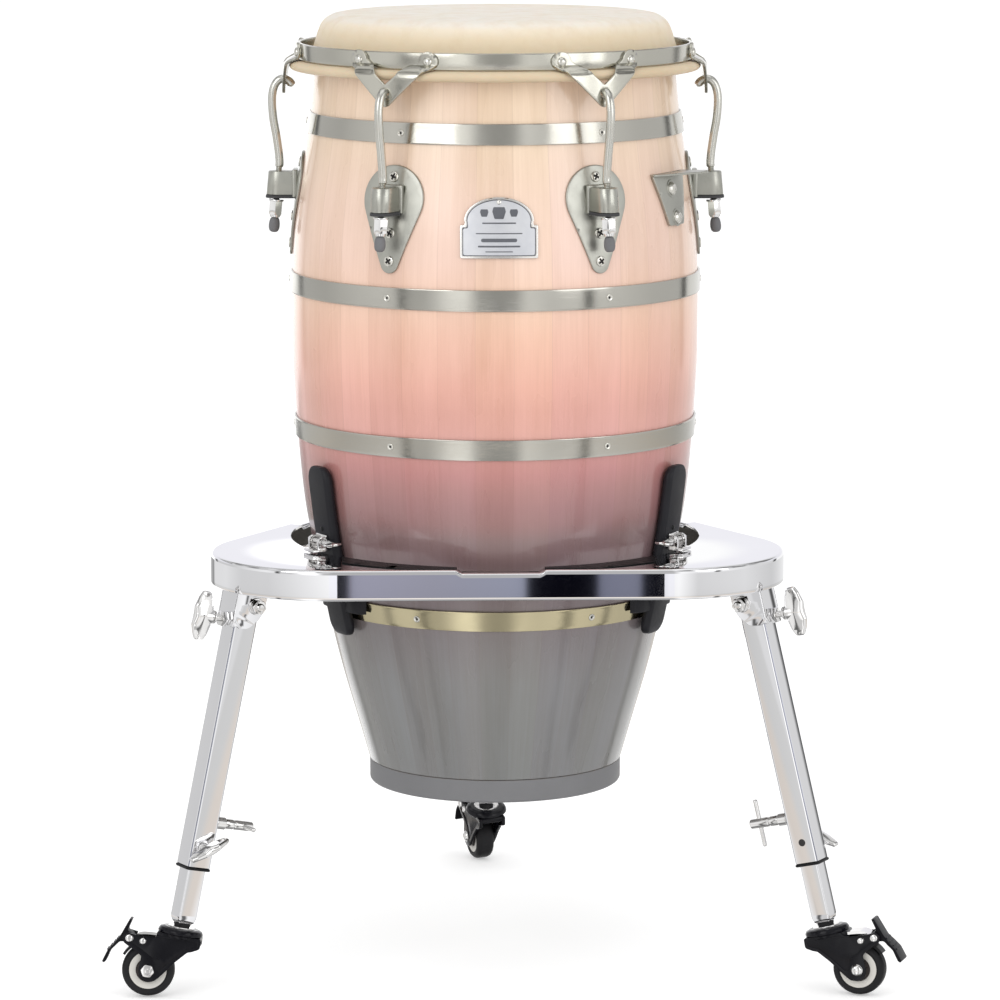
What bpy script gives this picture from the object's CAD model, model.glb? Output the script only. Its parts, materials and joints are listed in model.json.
"""Conga drum on a wheeled basket stand: visual model and studio.

The drum stands upright with its head at the top, z up and the badge at the front (-y).
Lengths are millimetres in the drum's own axes, with the origin on the floor under the
drum's centre; make() turns them into the row frame, in metres. Angles round the drum are
azimuths in degrees from +x, so 270 is the front.
"""
import json
import math
import bmesh
import bpy
import numpy as np
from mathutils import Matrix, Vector
from mathutils.geometry import delaunay_2d_cdt

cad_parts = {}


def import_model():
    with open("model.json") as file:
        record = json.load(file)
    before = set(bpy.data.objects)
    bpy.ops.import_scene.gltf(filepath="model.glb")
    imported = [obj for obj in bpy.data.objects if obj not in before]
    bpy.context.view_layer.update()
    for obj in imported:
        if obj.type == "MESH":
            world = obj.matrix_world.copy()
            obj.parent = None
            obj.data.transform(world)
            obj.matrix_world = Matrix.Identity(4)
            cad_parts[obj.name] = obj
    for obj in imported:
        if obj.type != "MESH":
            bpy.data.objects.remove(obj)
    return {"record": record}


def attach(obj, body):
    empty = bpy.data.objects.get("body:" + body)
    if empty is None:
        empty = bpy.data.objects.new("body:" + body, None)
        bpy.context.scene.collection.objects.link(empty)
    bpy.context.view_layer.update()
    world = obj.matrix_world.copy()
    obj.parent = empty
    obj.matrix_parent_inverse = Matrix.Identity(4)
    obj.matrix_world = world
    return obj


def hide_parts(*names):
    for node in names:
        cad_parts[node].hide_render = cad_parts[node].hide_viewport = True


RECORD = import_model()["record"]
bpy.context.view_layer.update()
HEAD_POS = next(m for m in RECORD["mounts"] if m["name"] == "head_top")["pos_m"]
AXIS = np.array([HEAD_POS[0] * 1000, HEAD_POS[1] * 1000, 0.0])    # the drum's axis in the row
JOINTS = {j["name"]: j for j in RECORD["behaviour"]["joints"]}
SCENE = bpy.context.scene
PI = math.pi

# ------------------------------------------------------------------ places (4 x 4 matrices)

HERE = np.eye(4)


def array(values):
    return np.asarray(values, dtype=float)


def unit(vector):
    return array(vector) / np.linalg.norm(vector)


def rot_z(degrees):
    a = math.radians(degrees)
    c, s = math.cos(a), math.sin(a)
    return np.array([[c, -s, 0, 0], [s, c, 0, 0], [0, 0, 1, 0], [0, 0, 0, 1.0]])


def axes(x, y, z, origin=(0, 0, 0)):
    """Place with the given axes and origin."""
    place = np.eye(4)
    place[:3, 0], place[:3, 1], place[:3, 2], place[:3, 3] = x, y, z, origin
    return place


def shift(x, y, z):
    return axes((1, 0, 0), (0, 1, 0), (0, 0, 1), (x, y, z))


def aim(origin, direction, roll):
    """Place whose z runs along direction, with x as near to roll as it can be."""
    z = unit(direction)
    x = unit(array(roll) - z * z.dot(array(roll)))
    return axes(x, np.cross(z, x), z, origin)


def side_on(x=0, y=0, z=0, facing=-1):
    """Place that stands a flat drawing up in the xz plane; its thickness runs along facing y."""
    return axes((1, 0, 0), (0, 0, 1), (0, facing, 0), (x, y, z))


def outward(r, z):
    """Place whose z points away from the drum's axis."""
    return axes((0, 1, 0), (0, 0, 1), (1, 0, 0), (r, 0, z))


# ------------------------------------------------------------------ curves and outlines

def smooth_curve(points):
    """Monotone smooth function through (x, y) points."""
    x, y = array(points).T
    step = np.diff(x)
    slope = np.diff(y) / step
    tangent = np.zeros(len(x))
    for i in range(1, len(x) - 1):
        if slope[i - 1] * slope[i] > 0:
            w1, w2 = 2 * step[i] + step[i - 1], step[i] + 2 * step[i - 1]
            tangent[i] = (w1 + w2) / (w1 / slope[i - 1] + w2 / slope[i])
    tangent[0], tangent[-1] = slope[0], slope[-1]

    def curve(at):
        at = array(at)
        i = np.clip(np.searchsorted(x, at) - 1, 0, len(step) - 1)
        t = (at - x[i]) / step[i]
        return (y[i] * (2 * t**3 - 3 * t**2 + 1) + step[i] * tangent[i] * (t**3 - 2 * t**2 + t)
                + y[i + 1] * (-2 * t**3 + 3 * t**2) + step[i] * tangent[i + 1] * (t**3 - t**2))
    return curve


def fillet(points, radius, steps=5, closed=True):
    """Polyline with rounded corners. Radius is one number or one per point."""
    points = [array(p) for p in points]
    radii = radius if hasattr(radius, "__len__") else [radius] * len(points)
    last = len(points) - 1
    out = []
    for i, (corner, r) in enumerate(zip(points, radii)):
        if r <= 0 or (not closed and i in (0, last)):
            out.append(corner)
            continue
        back, ahead = points[i - 1] - corner, points[(i + 1) % len(points)] - corner
        len_back, len_ahead = np.linalg.norm(back), np.linalg.norm(ahead)
        back, ahead = back / len_back, ahead / len_ahead
        opening = math.acos(np.clip(np.dot(back, ahead), -1, 1))
        if opening > PI - 0.02:
            out.append(corner)
            continue
        half_tan = math.tan(opening / 2)
        cut = min(r / half_tan, 0.49 * len_back, 0.49 * len_ahead)
        centre = corner + unit(back + ahead) * (cut * half_tan / math.sin(opening / 2))
        start, end = corner + back * cut - centre, corner + ahead * cut - centre
        sweep = PI - opening
        for k in range(steps + 1):
            s = k / steps
            spoke = math.sin((1 - s) * sweep) * start + math.sin(s * sweep) * end
            out.append(centre + spoke / math.sin(sweep))
    return out


def spline(points, steps):
    """Catmull-Rom curve through the points."""
    points = [array(p) for p in points]
    points = [2 * points[0] - points[1]] + points + [2 * points[-1] - points[-2]]
    out = []
    for a, b, c, d in zip(points, points[1:], points[2:], points[3:]):
        for k in range(steps):
            t = k / steps
            out.append(0.5 * ((2 * b) + (-a + c) * t + (2 * a - 5 * b + 4 * c - d) * t**2
                              + (-a + 3 * b - 3 * c + d) * t**3))
    out.append(points[-2])
    return array(out)


def arc(centre, radius, start, end, steps):
    return [(centre[0] + radius * math.cos(a), centre[1] + radius * math.sin(a))
            for a in np.linspace(start, end, steps + 1)]


def circle(radius, count, centre=(0, 0), clockwise=False):
    a = np.arange(count) * 2 * PI / count
    if clockwise:
        a = -a
    return np.stack([centre[0] + radius * np.cos(a), centre[1] + radius * np.sin(a)], 1)


def round_rect(width, height, radius, steps, centre=(0, 0)):
    cx, cy = centre
    x, y = width / 2, height / 2
    return array(fillet([(cx - x, cy - y), (cx + x, cy - y), (cx + x, cy + y), (cx - x, cy + y)],
                        radius, steps))


def resample(loop, step):
    """Closed loop with points added so that no edge is longer than step."""
    loop = array(loop)
    out = []
    for i, a in enumerate(loop):
        b = loop[(i + 1) % len(loop)]
        count = max(1, int(math.ceil(np.linalg.norm(b - a) / step)))
        for q in range(count):
            out.append(a + (b - a) * q / count)
    return array(out)


def mitres(loop):
    """Left normals of a closed loop, lengthened at corners."""
    edge = np.roll(loop, -1, 0) - loop
    edge = edge / np.maximum(np.linalg.norm(edge, axis=1)[:, None], 1e-9)
    normal = np.stack([-edge[:, 1], edge[:, 0]], 1)
    mitre = normal + np.roll(normal, 1, 0)
    mitre = mitre / np.maximum(np.linalg.norm(mitre, axis=1)[:, None], 1e-9)
    return mitre / np.maximum(np.sum(mitre * normal, axis=1), 0.45)[:, None]


def inside(loops, points):
    """Which points lie between the loops, by the even-odd rule."""
    result = np.zeros(len(points), bool)
    for loop in loops:
        for (x0, y0), (x1, y1) in zip(loop, np.roll(loop, -1, 0)):
            crosses = (y0 > points[:, 1]) != (y1 > points[:, 1])
            if crosses.any():
                x = (x1 - x0) * (points[:, 1] - y0) / (y1 - y0 + 1e-12) + x0
                result ^= crosses & (points[:, 0] < x)
    return result


def area(loop):
    x, y = loop[:, 0], loop[:, 1]
    return 0.5 * np.sum(x * np.roll(y, -1) - np.roll(x, -1) * y)


# ------------------------------------------------------------------ meshes: (verts, faces)

def strip(start, rows, count, flip=False):
    """Quads between successive rings of count vertices."""
    faces = []
    for k in range(rows - 1):
        for i in range(count):
            a, b = start + k * count + i, start + k * count + (i + 1) % count
            face = [a, b, b + count, a + count]
            faces.append(face[::-1] if flip else face)
    return faces


def loft(rings, caps=True):
    count = len(rings[0])
    faces = strip(0, len(rings), count)
    if caps:
        faces.append(list(range(count))[::-1])
        faces.append([(len(rings) - 1) * count + i for i in range(count)])
    return np.concatenate([array(ring) for ring in rings]), faces


def lathe(profile, segments, closed=True):
    """Body of revolution about z from a profile of (r, z)."""
    verts, faces, rows = [], [], []
    angles = np.arange(segments) * 2 * PI / segments
    cos, sin = np.cos(angles), np.sin(angles)
    for r, z in profile:
        start = len(verts)
        if r < 1e-6:
            verts.append((0, 0, z))
            rows.append([start] * segments)
        else:
            verts.extend(zip(r * cos, r * sin, [z] * segments))
            rows.append(range(start, start + segments))
    for k in range(len(rows) if closed else len(rows) - 1):
        row, after = rows[k], rows[(k + 1) % len(rows)]
        for i in range(segments):
            j = (i + 1) % segments
            face = [row[i], row[j], after[j], after[i]]
            # at the axis a quad shrinks to a triangle
            face = [v for q, v in enumerate(face) if v != face[q - 1]]
            if len(set(face)) >= 3:
                faces.append(face)
    return array(verts), faces


def turned(profile, radius, steps, segments):
    """Body of revolution from a closed profile with rounded corners."""
    return lathe(fillet(profile, radius, steps), segments)


def domed(profile, steps, segments):
    """Body of revolution from a smooth open profile."""
    return lathe(spline(profile, steps), segments, closed=False)


def rod(path, radius, sides):
    """Round rod swept along a path. Radius is one number or one per point."""
    path = array(path)
    tangents = np.zeros_like(path)
    tangents[1:-1] = path[2:] - path[:-2]
    tangents[0], tangents[-1] = path[1] - path[0], path[-1] - path[-2]
    tangents /= np.linalg.norm(tangents, axis=1)[:, None]
    across = array([0, 1, 0]) if abs(tangents[0][1]) < 0.9 else array([1, 0, 0])
    rings = []
    for centre, tangent, r in zip(path, tangents, np.broadcast_to(radius, len(path))):
        across = unit(across - tangent * across.dot(tangent))
        other = np.cross(tangent, across)
        angles = [2 * PI * k / sides for k in range(sides)]
        rings.append([centre + r * (math.cos(a) * across + math.sin(a) * other) for a in angles])
    return loft(rings)


def fill(loops, extra=np.zeros((0, 2))):
    """Triangles between closed loops: points, faces, and the input index of each point."""
    edges, start = [], 0
    for loop in loops:
        count = len(loop)
        edges += [(start + i, start + (i + 1) % count) for i in range(count)]
        start += count
    points = [Vector(p) for p in np.concatenate([*loops, extra])]
    points, _, faces, origins = delaunay_2d_cdt(points, edges, [], 0, 1e-7, True)[:4]
    centres = array([np.mean([tuple(points[v]) for v in face], axis=0) for face in faces])
    kept = [face for face, keep in zip(faces, inside(loops, centres)) if keep]
    return points, kept, [origin[0] if origin else -1 for origin in origins]


def grid_points(loops, step):
    """Square grid of points between the loops, kept clear of their edges."""
    edge = np.concatenate(loops)
    low, high = edge.min(0), edge.max(0)
    x, y = np.meshgrid(np.arange(low[0] + step / 2, high[0], step),
                       np.arange(low[1] + step / 2, high[1], step))
    points = np.column_stack([x.ravel(), y.ravel()])
    points = points[inside(loops, points)]
    gaps = np.min(np.linalg.norm(points[:, None, :] - edge[None, :, :], axis=2), axis=1)
    return points[gaps > step * 0.45]


def sheet(loops, thick, bend=None, bev=0.4, grid=None, low_bev=None):
    """Sheet from z = 0 to thick. The first loop is the outline, the others are holes.

    bev and low_bev round the top and bottom edges, grid spaces inner points so that the
    sheet can curve, and bend(x, y, z) gives the curved place of each point.
    """
    low_bev = bev if low_bev is None else low_bev
    rows = [(bev, thick), (bev * 0.62, thick - bev * 0.08), (bev * 0.29, thick - bev * 0.29),
            (bev * 0.08, thick - bev * 0.62), (0, thick - bev)]
    if low_bev > 0:
        rows += [(0, low_bev), (low_bev * 0.29, low_bev * 0.29)]
    rows.append((low_bev, 0))
    verts, faces, tops, bottoms, count = [], [], [], [], 0
    for i, loop in enumerate(loops):
        loop = array(loop)
        if (i == 0) != (area(loop) > 0):
            loop = loop[::-1]
        mitre, size = mitres(loop), len(loop)
        for inset, z in rows:
            verts.append(np.column_stack([loop + mitre * inset, np.full(size, z)]))
        faces += strip(count, len(rows), size, flip=True)
        tops.append((count, loop + mitre * bev))
        count += len(rows) * size
        bottoms.append((count - size, loop + mitre * low_bev))
    for rims, z in ((tops, thick), (bottoms, 0)):
        rim_loops = [rim for _, rim in rims]
        ids = np.concatenate([np.arange(start, start + len(rim)) for start, rim in rims])
        extra = grid_points(rim_loops, grid) if grid else np.zeros((0, 2))
        points, triangles, source = fill(rim_loops, extra)
        vertex = {j: int(ids[s]) for j, s in enumerate(source) if 0 <= s < len(ids)}
        added = []
        for triangle in triangles:
            for v in triangle:
                if v not in vertex:
                    vertex[v] = count
                    count += 1
                    added.append((*points[v], z))
            face = [vertex[v] for v in triangle]
            faces.append(face if rims is tops else face[::-1])
        if added:
            verts.append(array(added))
    verts = np.concatenate(verts)
    if bend is not None:
        verts = np.column_stack(bend(verts[:, 0], verts[:, 1], verts[:, 2]))
    return verts, faces


def box(x0, x1, y0, y1, z0, z1, bevel, steps):
    bm = bmesh.new()
    bmesh.ops.create_cube(bm, size=1.0)
    for v in bm.verts:
        v.co = Vector(((x0 + x1) / 2 + v.co.x * (x1 - x0), (y0 + y1) / 2 + v.co.y * (y1 - y0),
                       (z0 + z1) / 2 + v.co.z * (z1 - z0)))
    bmesh.ops.bevel(bm, geom=list(bm.edges), offset=bevel, segments=steps, profile=0.5,
                    affect='EDGES', clamp_overlap=True)
    bm.verts.index_update()
    verts = array([tuple(v.co) for v in bm.verts])
    faces = [[v.index for v in f.verts] for f in bm.faces]
    bm.free()
    return verts, faces


def hex_nut(flats, height):
    """Hexagon with chamfered corners, along z from 0."""
    corner = flats / 2 / math.cos(PI / 6)
    hexagon = [(corner * math.cos(PI / 3 * k), corner * math.sin(PI / 3 * k)) for k in range(6)]
    outline = resample(hexagon, corner / 6)
    rings = []
    # scale of the outline, height, and which way the corners are cut back
    for scale, z, way in ((0.93, 0, 0), (0.985, 0.05, -1), (1, 0.25, -1),
                          (1, height - 0.25, 1), (0.985, height - 0.05, 1), (0.93, height, 0)):
        ring = outline * scale
        cut = np.maximum(np.linalg.norm(ring, axis=1) - (flats / 2 + 0.1), 0) * 0.62
        rings.append(np.column_stack([ring, z - way * cut]))
    return loft(rings)


def make(name, parts, body, materials, slot, cad=None, sharp=35):
    """Joins parts, each (mesh, place) or (mesh, place, material), in one object.

    A part without a material takes the first one. Edges over sharp degrees stay sharp.
    """
    verts, faces, indices, count = [], [], [], 0
    for (points, polygons), place, *material in parts:
        flip = np.linalg.det(place[:3, :3]) < 0
        verts.append(array(points) @ place[:3, :3].T + place[:3, 3])
        for polygon in polygons:
            polygon = [int(i) + count for i in polygon]
            faces.append(polygon[::-1] if flip else polygon)
        indices += [materials.index(material[0]) if material else 0] * len(polygons)
        count += len(points)
    mesh = bpy.data.meshes.new(name)
    mesh.from_pydata(((np.concatenate(verts) + AXIS) / 1000.0).tolist(), [], faces)
    mesh.validate(verbose=False)
    # validate may drop a bad face, and then the indices would no longer match
    if len(mesh.polygons) == len(indices):
        mesh.polygons.foreach_set("material_index", indices)
    for material in materials:
        mesh.materials.append(material)
    mesh.update()
    # a pass through bmesh drops attributes that hold only their default
    bm = bmesh.new()
    bm.from_mesh(mesh)
    bm.to_mesh(mesh)
    bm.free()
    mesh.shade_smooth()
    mesh.set_sharp_from_angle(angle=math.radians(sharp))
    obj = bpy.data.objects.new(name, mesh)
    bpy.context.collection.objects.link(obj)
    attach(obj, body)
    if cad:
        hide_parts(cad)
    return obj


# ------------------------------------------------------------------ shader graphs

def srgb(colour):
    """Linear RGBA from 0-255 sRGB."""
    colour = [x / 255.0 for x in colour]
    return tuple(x / 12.92 if x <= 0.04045 else ((x + 0.055) / 1.055) ** 2.4
                 for x in colour) + (1.0,)


def grey(value):
    return (value, value, value, 1.0)


class Graph:
    """Builds nodes in a tree. Every input takes a value or a socket."""

    def __init__(self, tree):
        self.tree = tree

    def fill(self, node, **inputs):
        """Sets inputs by name, with _ for a space, or by index as i0, i1 and so on."""
        for key, value in inputs.items():
            by_index = key[0] == 'i' and key[1:].isdigit()
            socket = node.inputs[int(key[1:]) if by_index else key.replace('_', ' ')]
            if isinstance(value, bpy.types.NodeSocket):
                self.tree.links.new(value, socket)
            else:
                socket.default_value = value

    def node(self, kind, settings=None, **inputs):
        node = self.tree.nodes.new(kind)
        for key, value in (settings or {}).items():
            setattr(node, key, value)
        self.fill(node, **inputs)
        return node

    def out(self, kind, settings=None, **inputs):
        """First output of a new node."""
        return self.node(kind, settings, **inputs).outputs[0]

    def math(self, operation, a, b=0.0, **more):
        return self.out('ShaderNodeMath', {'operation': operation}, i0=a, i1=b, **more)

    def times(self, a, b):
        return self.math('MULTIPLY', a, b)

    def add(self, first, *rest):
        return self.math('ADD', first, self.add(*rest)) if rest else first

    def remap(self, value, span, to=(0.0, 1.0), smooth=False):
        """Carries the span of value onto another span, clamped."""
        kind = 'SMOOTHSTEP' if smooth else 'LINEAR'
        return self.out('ShaderNodeMapRange', {'interpolation_type': kind}, Value=value,
                        From_Min=span[0], From_Max=span[1], To_Min=to[0], To_Max=to[1])

    def mix(self, factor, a, b, mode='MIX'):
        settings = {'data_type': 'RGBA', 'blend_type': mode}
        return self.node('ShaderNodeMix', settings, i0=factor, i6=a, i7=b).outputs[2]

    def ramp(self, factor, stops):
        """Colour ramp with stops of (position, colour)."""
        node = self.node('ShaderNodeValToRGB', i0=factor)
        elements = node.color_ramp.elements
        while len(elements) > 1:
            elements.remove(elements[-1])
        elements[0].position, elements[0].color = stops[0]
        for position, colour in stops[1:]:
            elements.new(position).color = colour
        return node.outputs[0]


class Material(Graph):
    """Principled material textured in object space, in metres."""

    def __init__(self, name):
        self.material = bpy.data.materials.new(name)
        self.material.use_nodes = True
        super().__init__(self.material.node_tree)
        self.tree.nodes.clear()
        self.bsdf = self.node('ShaderNodeBsdfPrincipled')
        self.node('ShaderNodeOutputMaterial', i0=self.bsdf.outputs[0])
        self.place = self.node('ShaderNodeTexCoord').outputs['Object']

    def finish(self, **inputs):
        self.fill(self.bsdf, **inputs)
        return self.material

    def math(self, operation, a, b=0.0):
        return super().math(operation, a, b, i2=0.0)

    def noise(self, vector, scale, detail, rough, distort=0.0):
        return self.out('ShaderNodeTexNoise', Vector=vector, Scale=scale, Detail=detail,
                        Roughness=rough, Distortion=distort)

    def white_noise(self, seed):
        return self.out('ShaderNodeTexWhiteNoise', {'noise_dimensions': '1D'}, W=seed)

    def bump(self, height, strength, distance):
        return self.out('ShaderNodeBump', Height=height, Strength=strength, Distance=distance)

    def xyz(self):
        return self.node('ShaderNodeSeparateXYZ', i0=self.place).outputs

    def from_axis(self):
        """x and y from the drum's axis, and z."""
        x, y, z = self.xyz()
        return (self.math('SUBTRACT', x, AXIS[0] / 1000),
                self.math('SUBTRACT', y, AXIS[1] / 1000), z)

    def vector(self, x, y, z):
        return self.out('ShaderNodeCombineXYZ', X=x, Y=y, Z=z)


# ------------------------------------------------------------------ materials

# colour of the shell against height: lacquer fading from natural wood to grey
FADE_LOW, FADE_HIGH = 170, 910
SHELL_COLOURS = [
    (176, (124, 124, 126)), (255, (126, 125, 126)), (300, (128, 126, 127)),
    (345, (128, 121, 123)), (383, (131, 116, 119)), (423, (128, 105, 109)),
    (446, (144, 117, 119)), (462, (160, 119, 120)), (480, (170, 123, 124)),
    (496, (181, 129, 128)), (512, (195, 135, 134)), (527, (206, 144, 140)),
    (550, (225, 167, 158)), (574, (227, 168, 156)), (598, (235, 177, 162)),
    (622, (238, 185, 167)), (645, (240, 192, 172)), (668, (241, 200, 179)),
    (718, (241, 206, 190)), (772, (241, 209, 192)), (825, (240, 212, 190)),
    (900, (240, 213, 190))]
STAVES = 34
GRAIN_RADIUS = 0.19       # metres of grain pattern per radian round the shell


def lacquered_wood():
    m = Material('shell_lacquer')
    x, y, z = m.from_axis()
    azimuth = m.math('ARCTAN2', y, x)
    fade = m.ramp(m.remap(z, (FADE_LOW / 1000, FADE_HIGH / 1000)),
                  [((h - FADE_LOW) / (FADE_HIGH - FADE_LOW), srgb(c)) for h, c in SHELL_COLOURS])
    # one tone and hue per stave, and long grain along them
    stave = m.times(azimuth, STAVES / (2 * PI))
    stave_id = m.math('FLOOR', stave)
    stave_tone = m.white_noise(stave_id)
    around = m.times(azimuth, GRAIN_RADIUS)
    grain = m.noise(m.vector(m.times(around, 1.0), m.times(z, 0.035), m.times(stave_id, 0.37)),
                    scale=260.0, detail=6.0, rough=0.62, distort=0.4)
    fine = m.noise(m.vector(around, m.times(z, 0.012), m.times(stave_id, 0.21)),
                   scale=900.0, detail=3.0, rough=0.6)
    broad = m.noise(m.vector(around, m.times(z, 0.25), 0.0), scale=24.0, detail=3.0, rough=0.5)
    stave_hue = m.white_noise(m.math('ADD', stave_id, 71.3))
    hue = m.mix(m.remap(stave_hue, (0, 1), to=(0.0, 0.8)), grey(1.0),
                (0.995, 1.012, 0.93, 1.0), 'MULTIPLY')
    tone = m.add(m.remap(stave_tone, (0, 1), to=(0.94, 1.04)),
                 m.remap(grain, (0.3, 0.7), to=(-0.038, 0.03)),
                 m.remap(fine, (0.3, 0.7), to=(-0.02, 0.02)),
                 m.remap(broad, (0.3, 0.7), to=(-0.06, 0.05)))
    # darker tones are also warmer
    tone = m.out('ShaderNodeCombineColor', Red=tone, Green=m.math('POWER', tone, 1.25),
                 Blue=m.math('POWER', tone, 1.6))
    colour = m.mix(1.0, fade, tone, 'MULTIPLY')
    colour = m.mix(1.0, colour, hue, 'MULTIPLY')
    # hairline joints between staves
    across = m.math('FRACT', stave)
    gap = m.math('MINIMUM', across, m.math('SUBTRACT', 1.0, across))
    colour = m.mix(m.remap(gap, (0.0, 0.014), to=(0.16, 0.0)), colour, srgb((120, 84, 70)))
    return m.finish(Base_Color=colour, Roughness=m.remap(broad, (0.3, 0.7), to=(0.24, 0.34)),
                    Specular_IOR_Level=0.5, Coat_Weight=0.6,
                    Coat_Roughness=m.remap(broad, (0.3, 0.7), to=(0.06, 0.12)),
                    Normal=m.bump(grain, strength=0.05, distance=0.0004))


def raw_wood():
    m = Material('raw_wood_inside')
    x, y, z = m.from_axis()
    around = m.times(m.math('ARCTAN2', y, x), GRAIN_RADIUS)
    grain = m.noise(m.vector(around, m.times(z, 0.03), 0.0),
                    scale=320.0, detail=6.0, rough=0.6, distort=0.3)
    colour = m.ramp(grain, [(0.3, srgb((196, 160, 120))), (0.7, srgb((225, 195, 155)))])
    return m.finish(Base_Color=colour, Roughness=0.7,
                    Normal=m.bump(grain, strength=0.25, distance=0.0008))


def rawhide():
    m = Material('rawhide')
    patches = m.noise(m.place, scale=9.0, detail=6.0, rough=0.6, distort=0.6)
    specks = m.noise(m.place, scale=60.0, detail=5.0, rough=0.65)
    pores = m.noise(m.place, scale=420.0, detail=3.0, rough=0.6)
    # paler from the rolled edge up to the playing surface
    colour = m.ramp(m.remap(m.xyz()[2], (0.888, 0.94)), [
        (0.0, srgb((206, 184, 152))), (0.2, srgb((216, 197, 166))),
        (0.45, srgb((224, 205, 173))), (0.75, srgb((232, 214, 184))),
        (0.93, srgb((238, 226, 206))), (1.0, srgb((238, 231, 221)))])
    colour = m.mix(m.remap(patches, (0.35, 0.65), to=(0.0, 0.35)), colour, srgb((238, 222, 196)))
    colour = m.mix(m.remap(specks, (0.45, 0.75), to=(0.0, 0.30)), colour, srgb((216, 192, 156)))
    height = m.math('ADD', m.times(specks, 0.7), m.times(pores, 0.3))
    return m.finish(Base_Color=colour, Roughness=m.remap(specks, (0.3, 0.7), to=(0.42, 0.6)),
                    Specular_IOR_Level=0.4, Subsurface_Weight=0.08, Subsurface_Scale=0.004,
                    Normal=m.bump(height, strength=0.12, distance=0.0008))


def metal(name, colour, rough, smudge, brushed=None, scale=1.0, dirt=0.0):
    """Plated metal. brushed is 'hoop' for lines round the drum, 'z' for upright lines.

    smudge is how far the roughness wanders, scale that of the smudges and dirt.
    """
    m = Material(name)
    broad = m.noise(m.place, scale=14.0 * scale, detail=5.0, rough=0.6)
    fine = m.noise(m.place, scale=130.0 * scale, detail=4.0, rough=0.6)
    roughness = m.add(rough, m.remap(broad, (0.35, 0.65), to=(-smudge, smudge)),
                      m.remap(fine, (0.35, 0.65), to=(-smudge * 0.4, smudge * 0.4)))
    shade = tuple(x * 0.93 for x in srgb(colour)[:3]) + (1.0,)
    tint = m.mix(m.remap(broad, (0.3, 0.7), to=(0.0, 0.5)), srgb(colour), shade)
    if dirt:
        tint = m.mix(m.remap(fine, (0.58, 0.8), to=(0.0, dirt)), tint, srgb((90, 84, 74)))
    if brushed == 'hoop':
        x, y, z = m.from_axis()
        radius = m.math('SQRT', m.math('ADD', m.times(x, x), m.times(y, y)))
        around = m.times(m.math('ARCTAN2', y, x), 0.004)
        lines = m.noise(m.vector(around, m.times(radius, 1.0), z),
                        scale=2600.0, detail=3.0, rough=0.6)
        m.finish(Normal=m.bump(lines, strength=0.09, distance=0.0003), Anisotropic=0.35)
    elif brushed == 'z':
        x, y, z = m.xyz()
        lines = m.noise(m.vector(x, y, m.times(z, 0.02)), scale=1800.0, detail=3.0, rough=0.6)
        m.finish(Normal=m.bump(lines, strength=0.08, distance=0.0003))
    elif rough > 0.05:
        m.finish(Normal=m.bump(fine, strength=0.012, distance=0.0004))
    return m.finish(Base_Color=tint, Metallic=1.0, Roughness=m.math('MAXIMUM', roughness, 0.02))


def plain(name, colour, rough, specular, grain_scale, bump, mottle, coat=0.0):
    """Plastic, rubber or enamel. mottle is how much brighter its pale patches are."""
    m = Material(name)
    patches = m.noise(m.place, scale=30.0, detail=5.0, rough=0.6)
    grain = m.noise(m.place, scale=grain_scale, detail=3.0, rough=0.6)
    base = srgb(colour)
    pale = tuple(min(1.0, x * (1 + mottle) + 0.004) for x in base[:3]) + (1.0,)
    return m.finish(
        Base_Color=m.mix(m.remap(patches, (0.35, 0.7)), base, pale),
        Roughness=m.math('ADD', rough, m.remap(patches, (0.35, 0.65), to=(-0.06, 0.06))),
        Specular_IOR_Level=specular, Coat_Weight=coat, Coat_Roughness=0.08,
        Normal=m.bump(grain, strength=bump, distance=0.0005))


def badge_metal():
    m = Material('badge_plate')
    x, y, z = m.xyz()
    lines = m.noise(m.vector(m.times(x, 0.03), y, z), scale=1500.0, detail=3.0, rough=0.6)
    patches = m.noise(m.place, scale=40.0, detail=4.0, rough=0.6)
    colour = m.mix(m.remap(patches, (0.3, 0.7)), srgb((208, 210, 216)), srgb((222, 223, 226)))
    return m.finish(Base_Color=colour, Metallic=0.55,
                    Roughness=m.remap(lines, (0.3, 0.7), to=(0.3, 0.42)),
                    Normal=m.bump(lines, strength=0.06, distance=0.0003))


WOOD, RAW, HIDE = lacquered_wood(), raw_wood(), rawhide()
# metals: name, sRGB colour, roughness, smudge
RIM_STEEL = metal('rim_satin_nickel', (190, 188, 178), 0.15, 0.05, brushed='hoop')
PLATE_STEEL = metal('lug_satin_nickel', (178, 178, 170), 0.33, 0.06, brushed='z', dirt=0.15)
HOOK_STEEL = metal('hook_nickel', (206, 205, 198), 0.24, 0.05, dirt=0.06)
BAND_STEEL = metal('band_polished_steel', (184, 182, 174), 0.12, 0.04, brushed='hoop')
BAND_BRASS = metal('band_pale_brass', (190, 180, 148), 0.12, 0.04, brushed='hoop')
CHROME = metal('stand_chrome', (232, 232, 234), 0.012, 0.008, scale=0.6)
CHROME_SMALL = metal('fitting_chrome', (230, 229, 228), 0.08, 0.04, scale=1.5)
SCREW = metal('screw_nickel', (214, 212, 204), 0.22, 0.06, scale=3.0)
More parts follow.
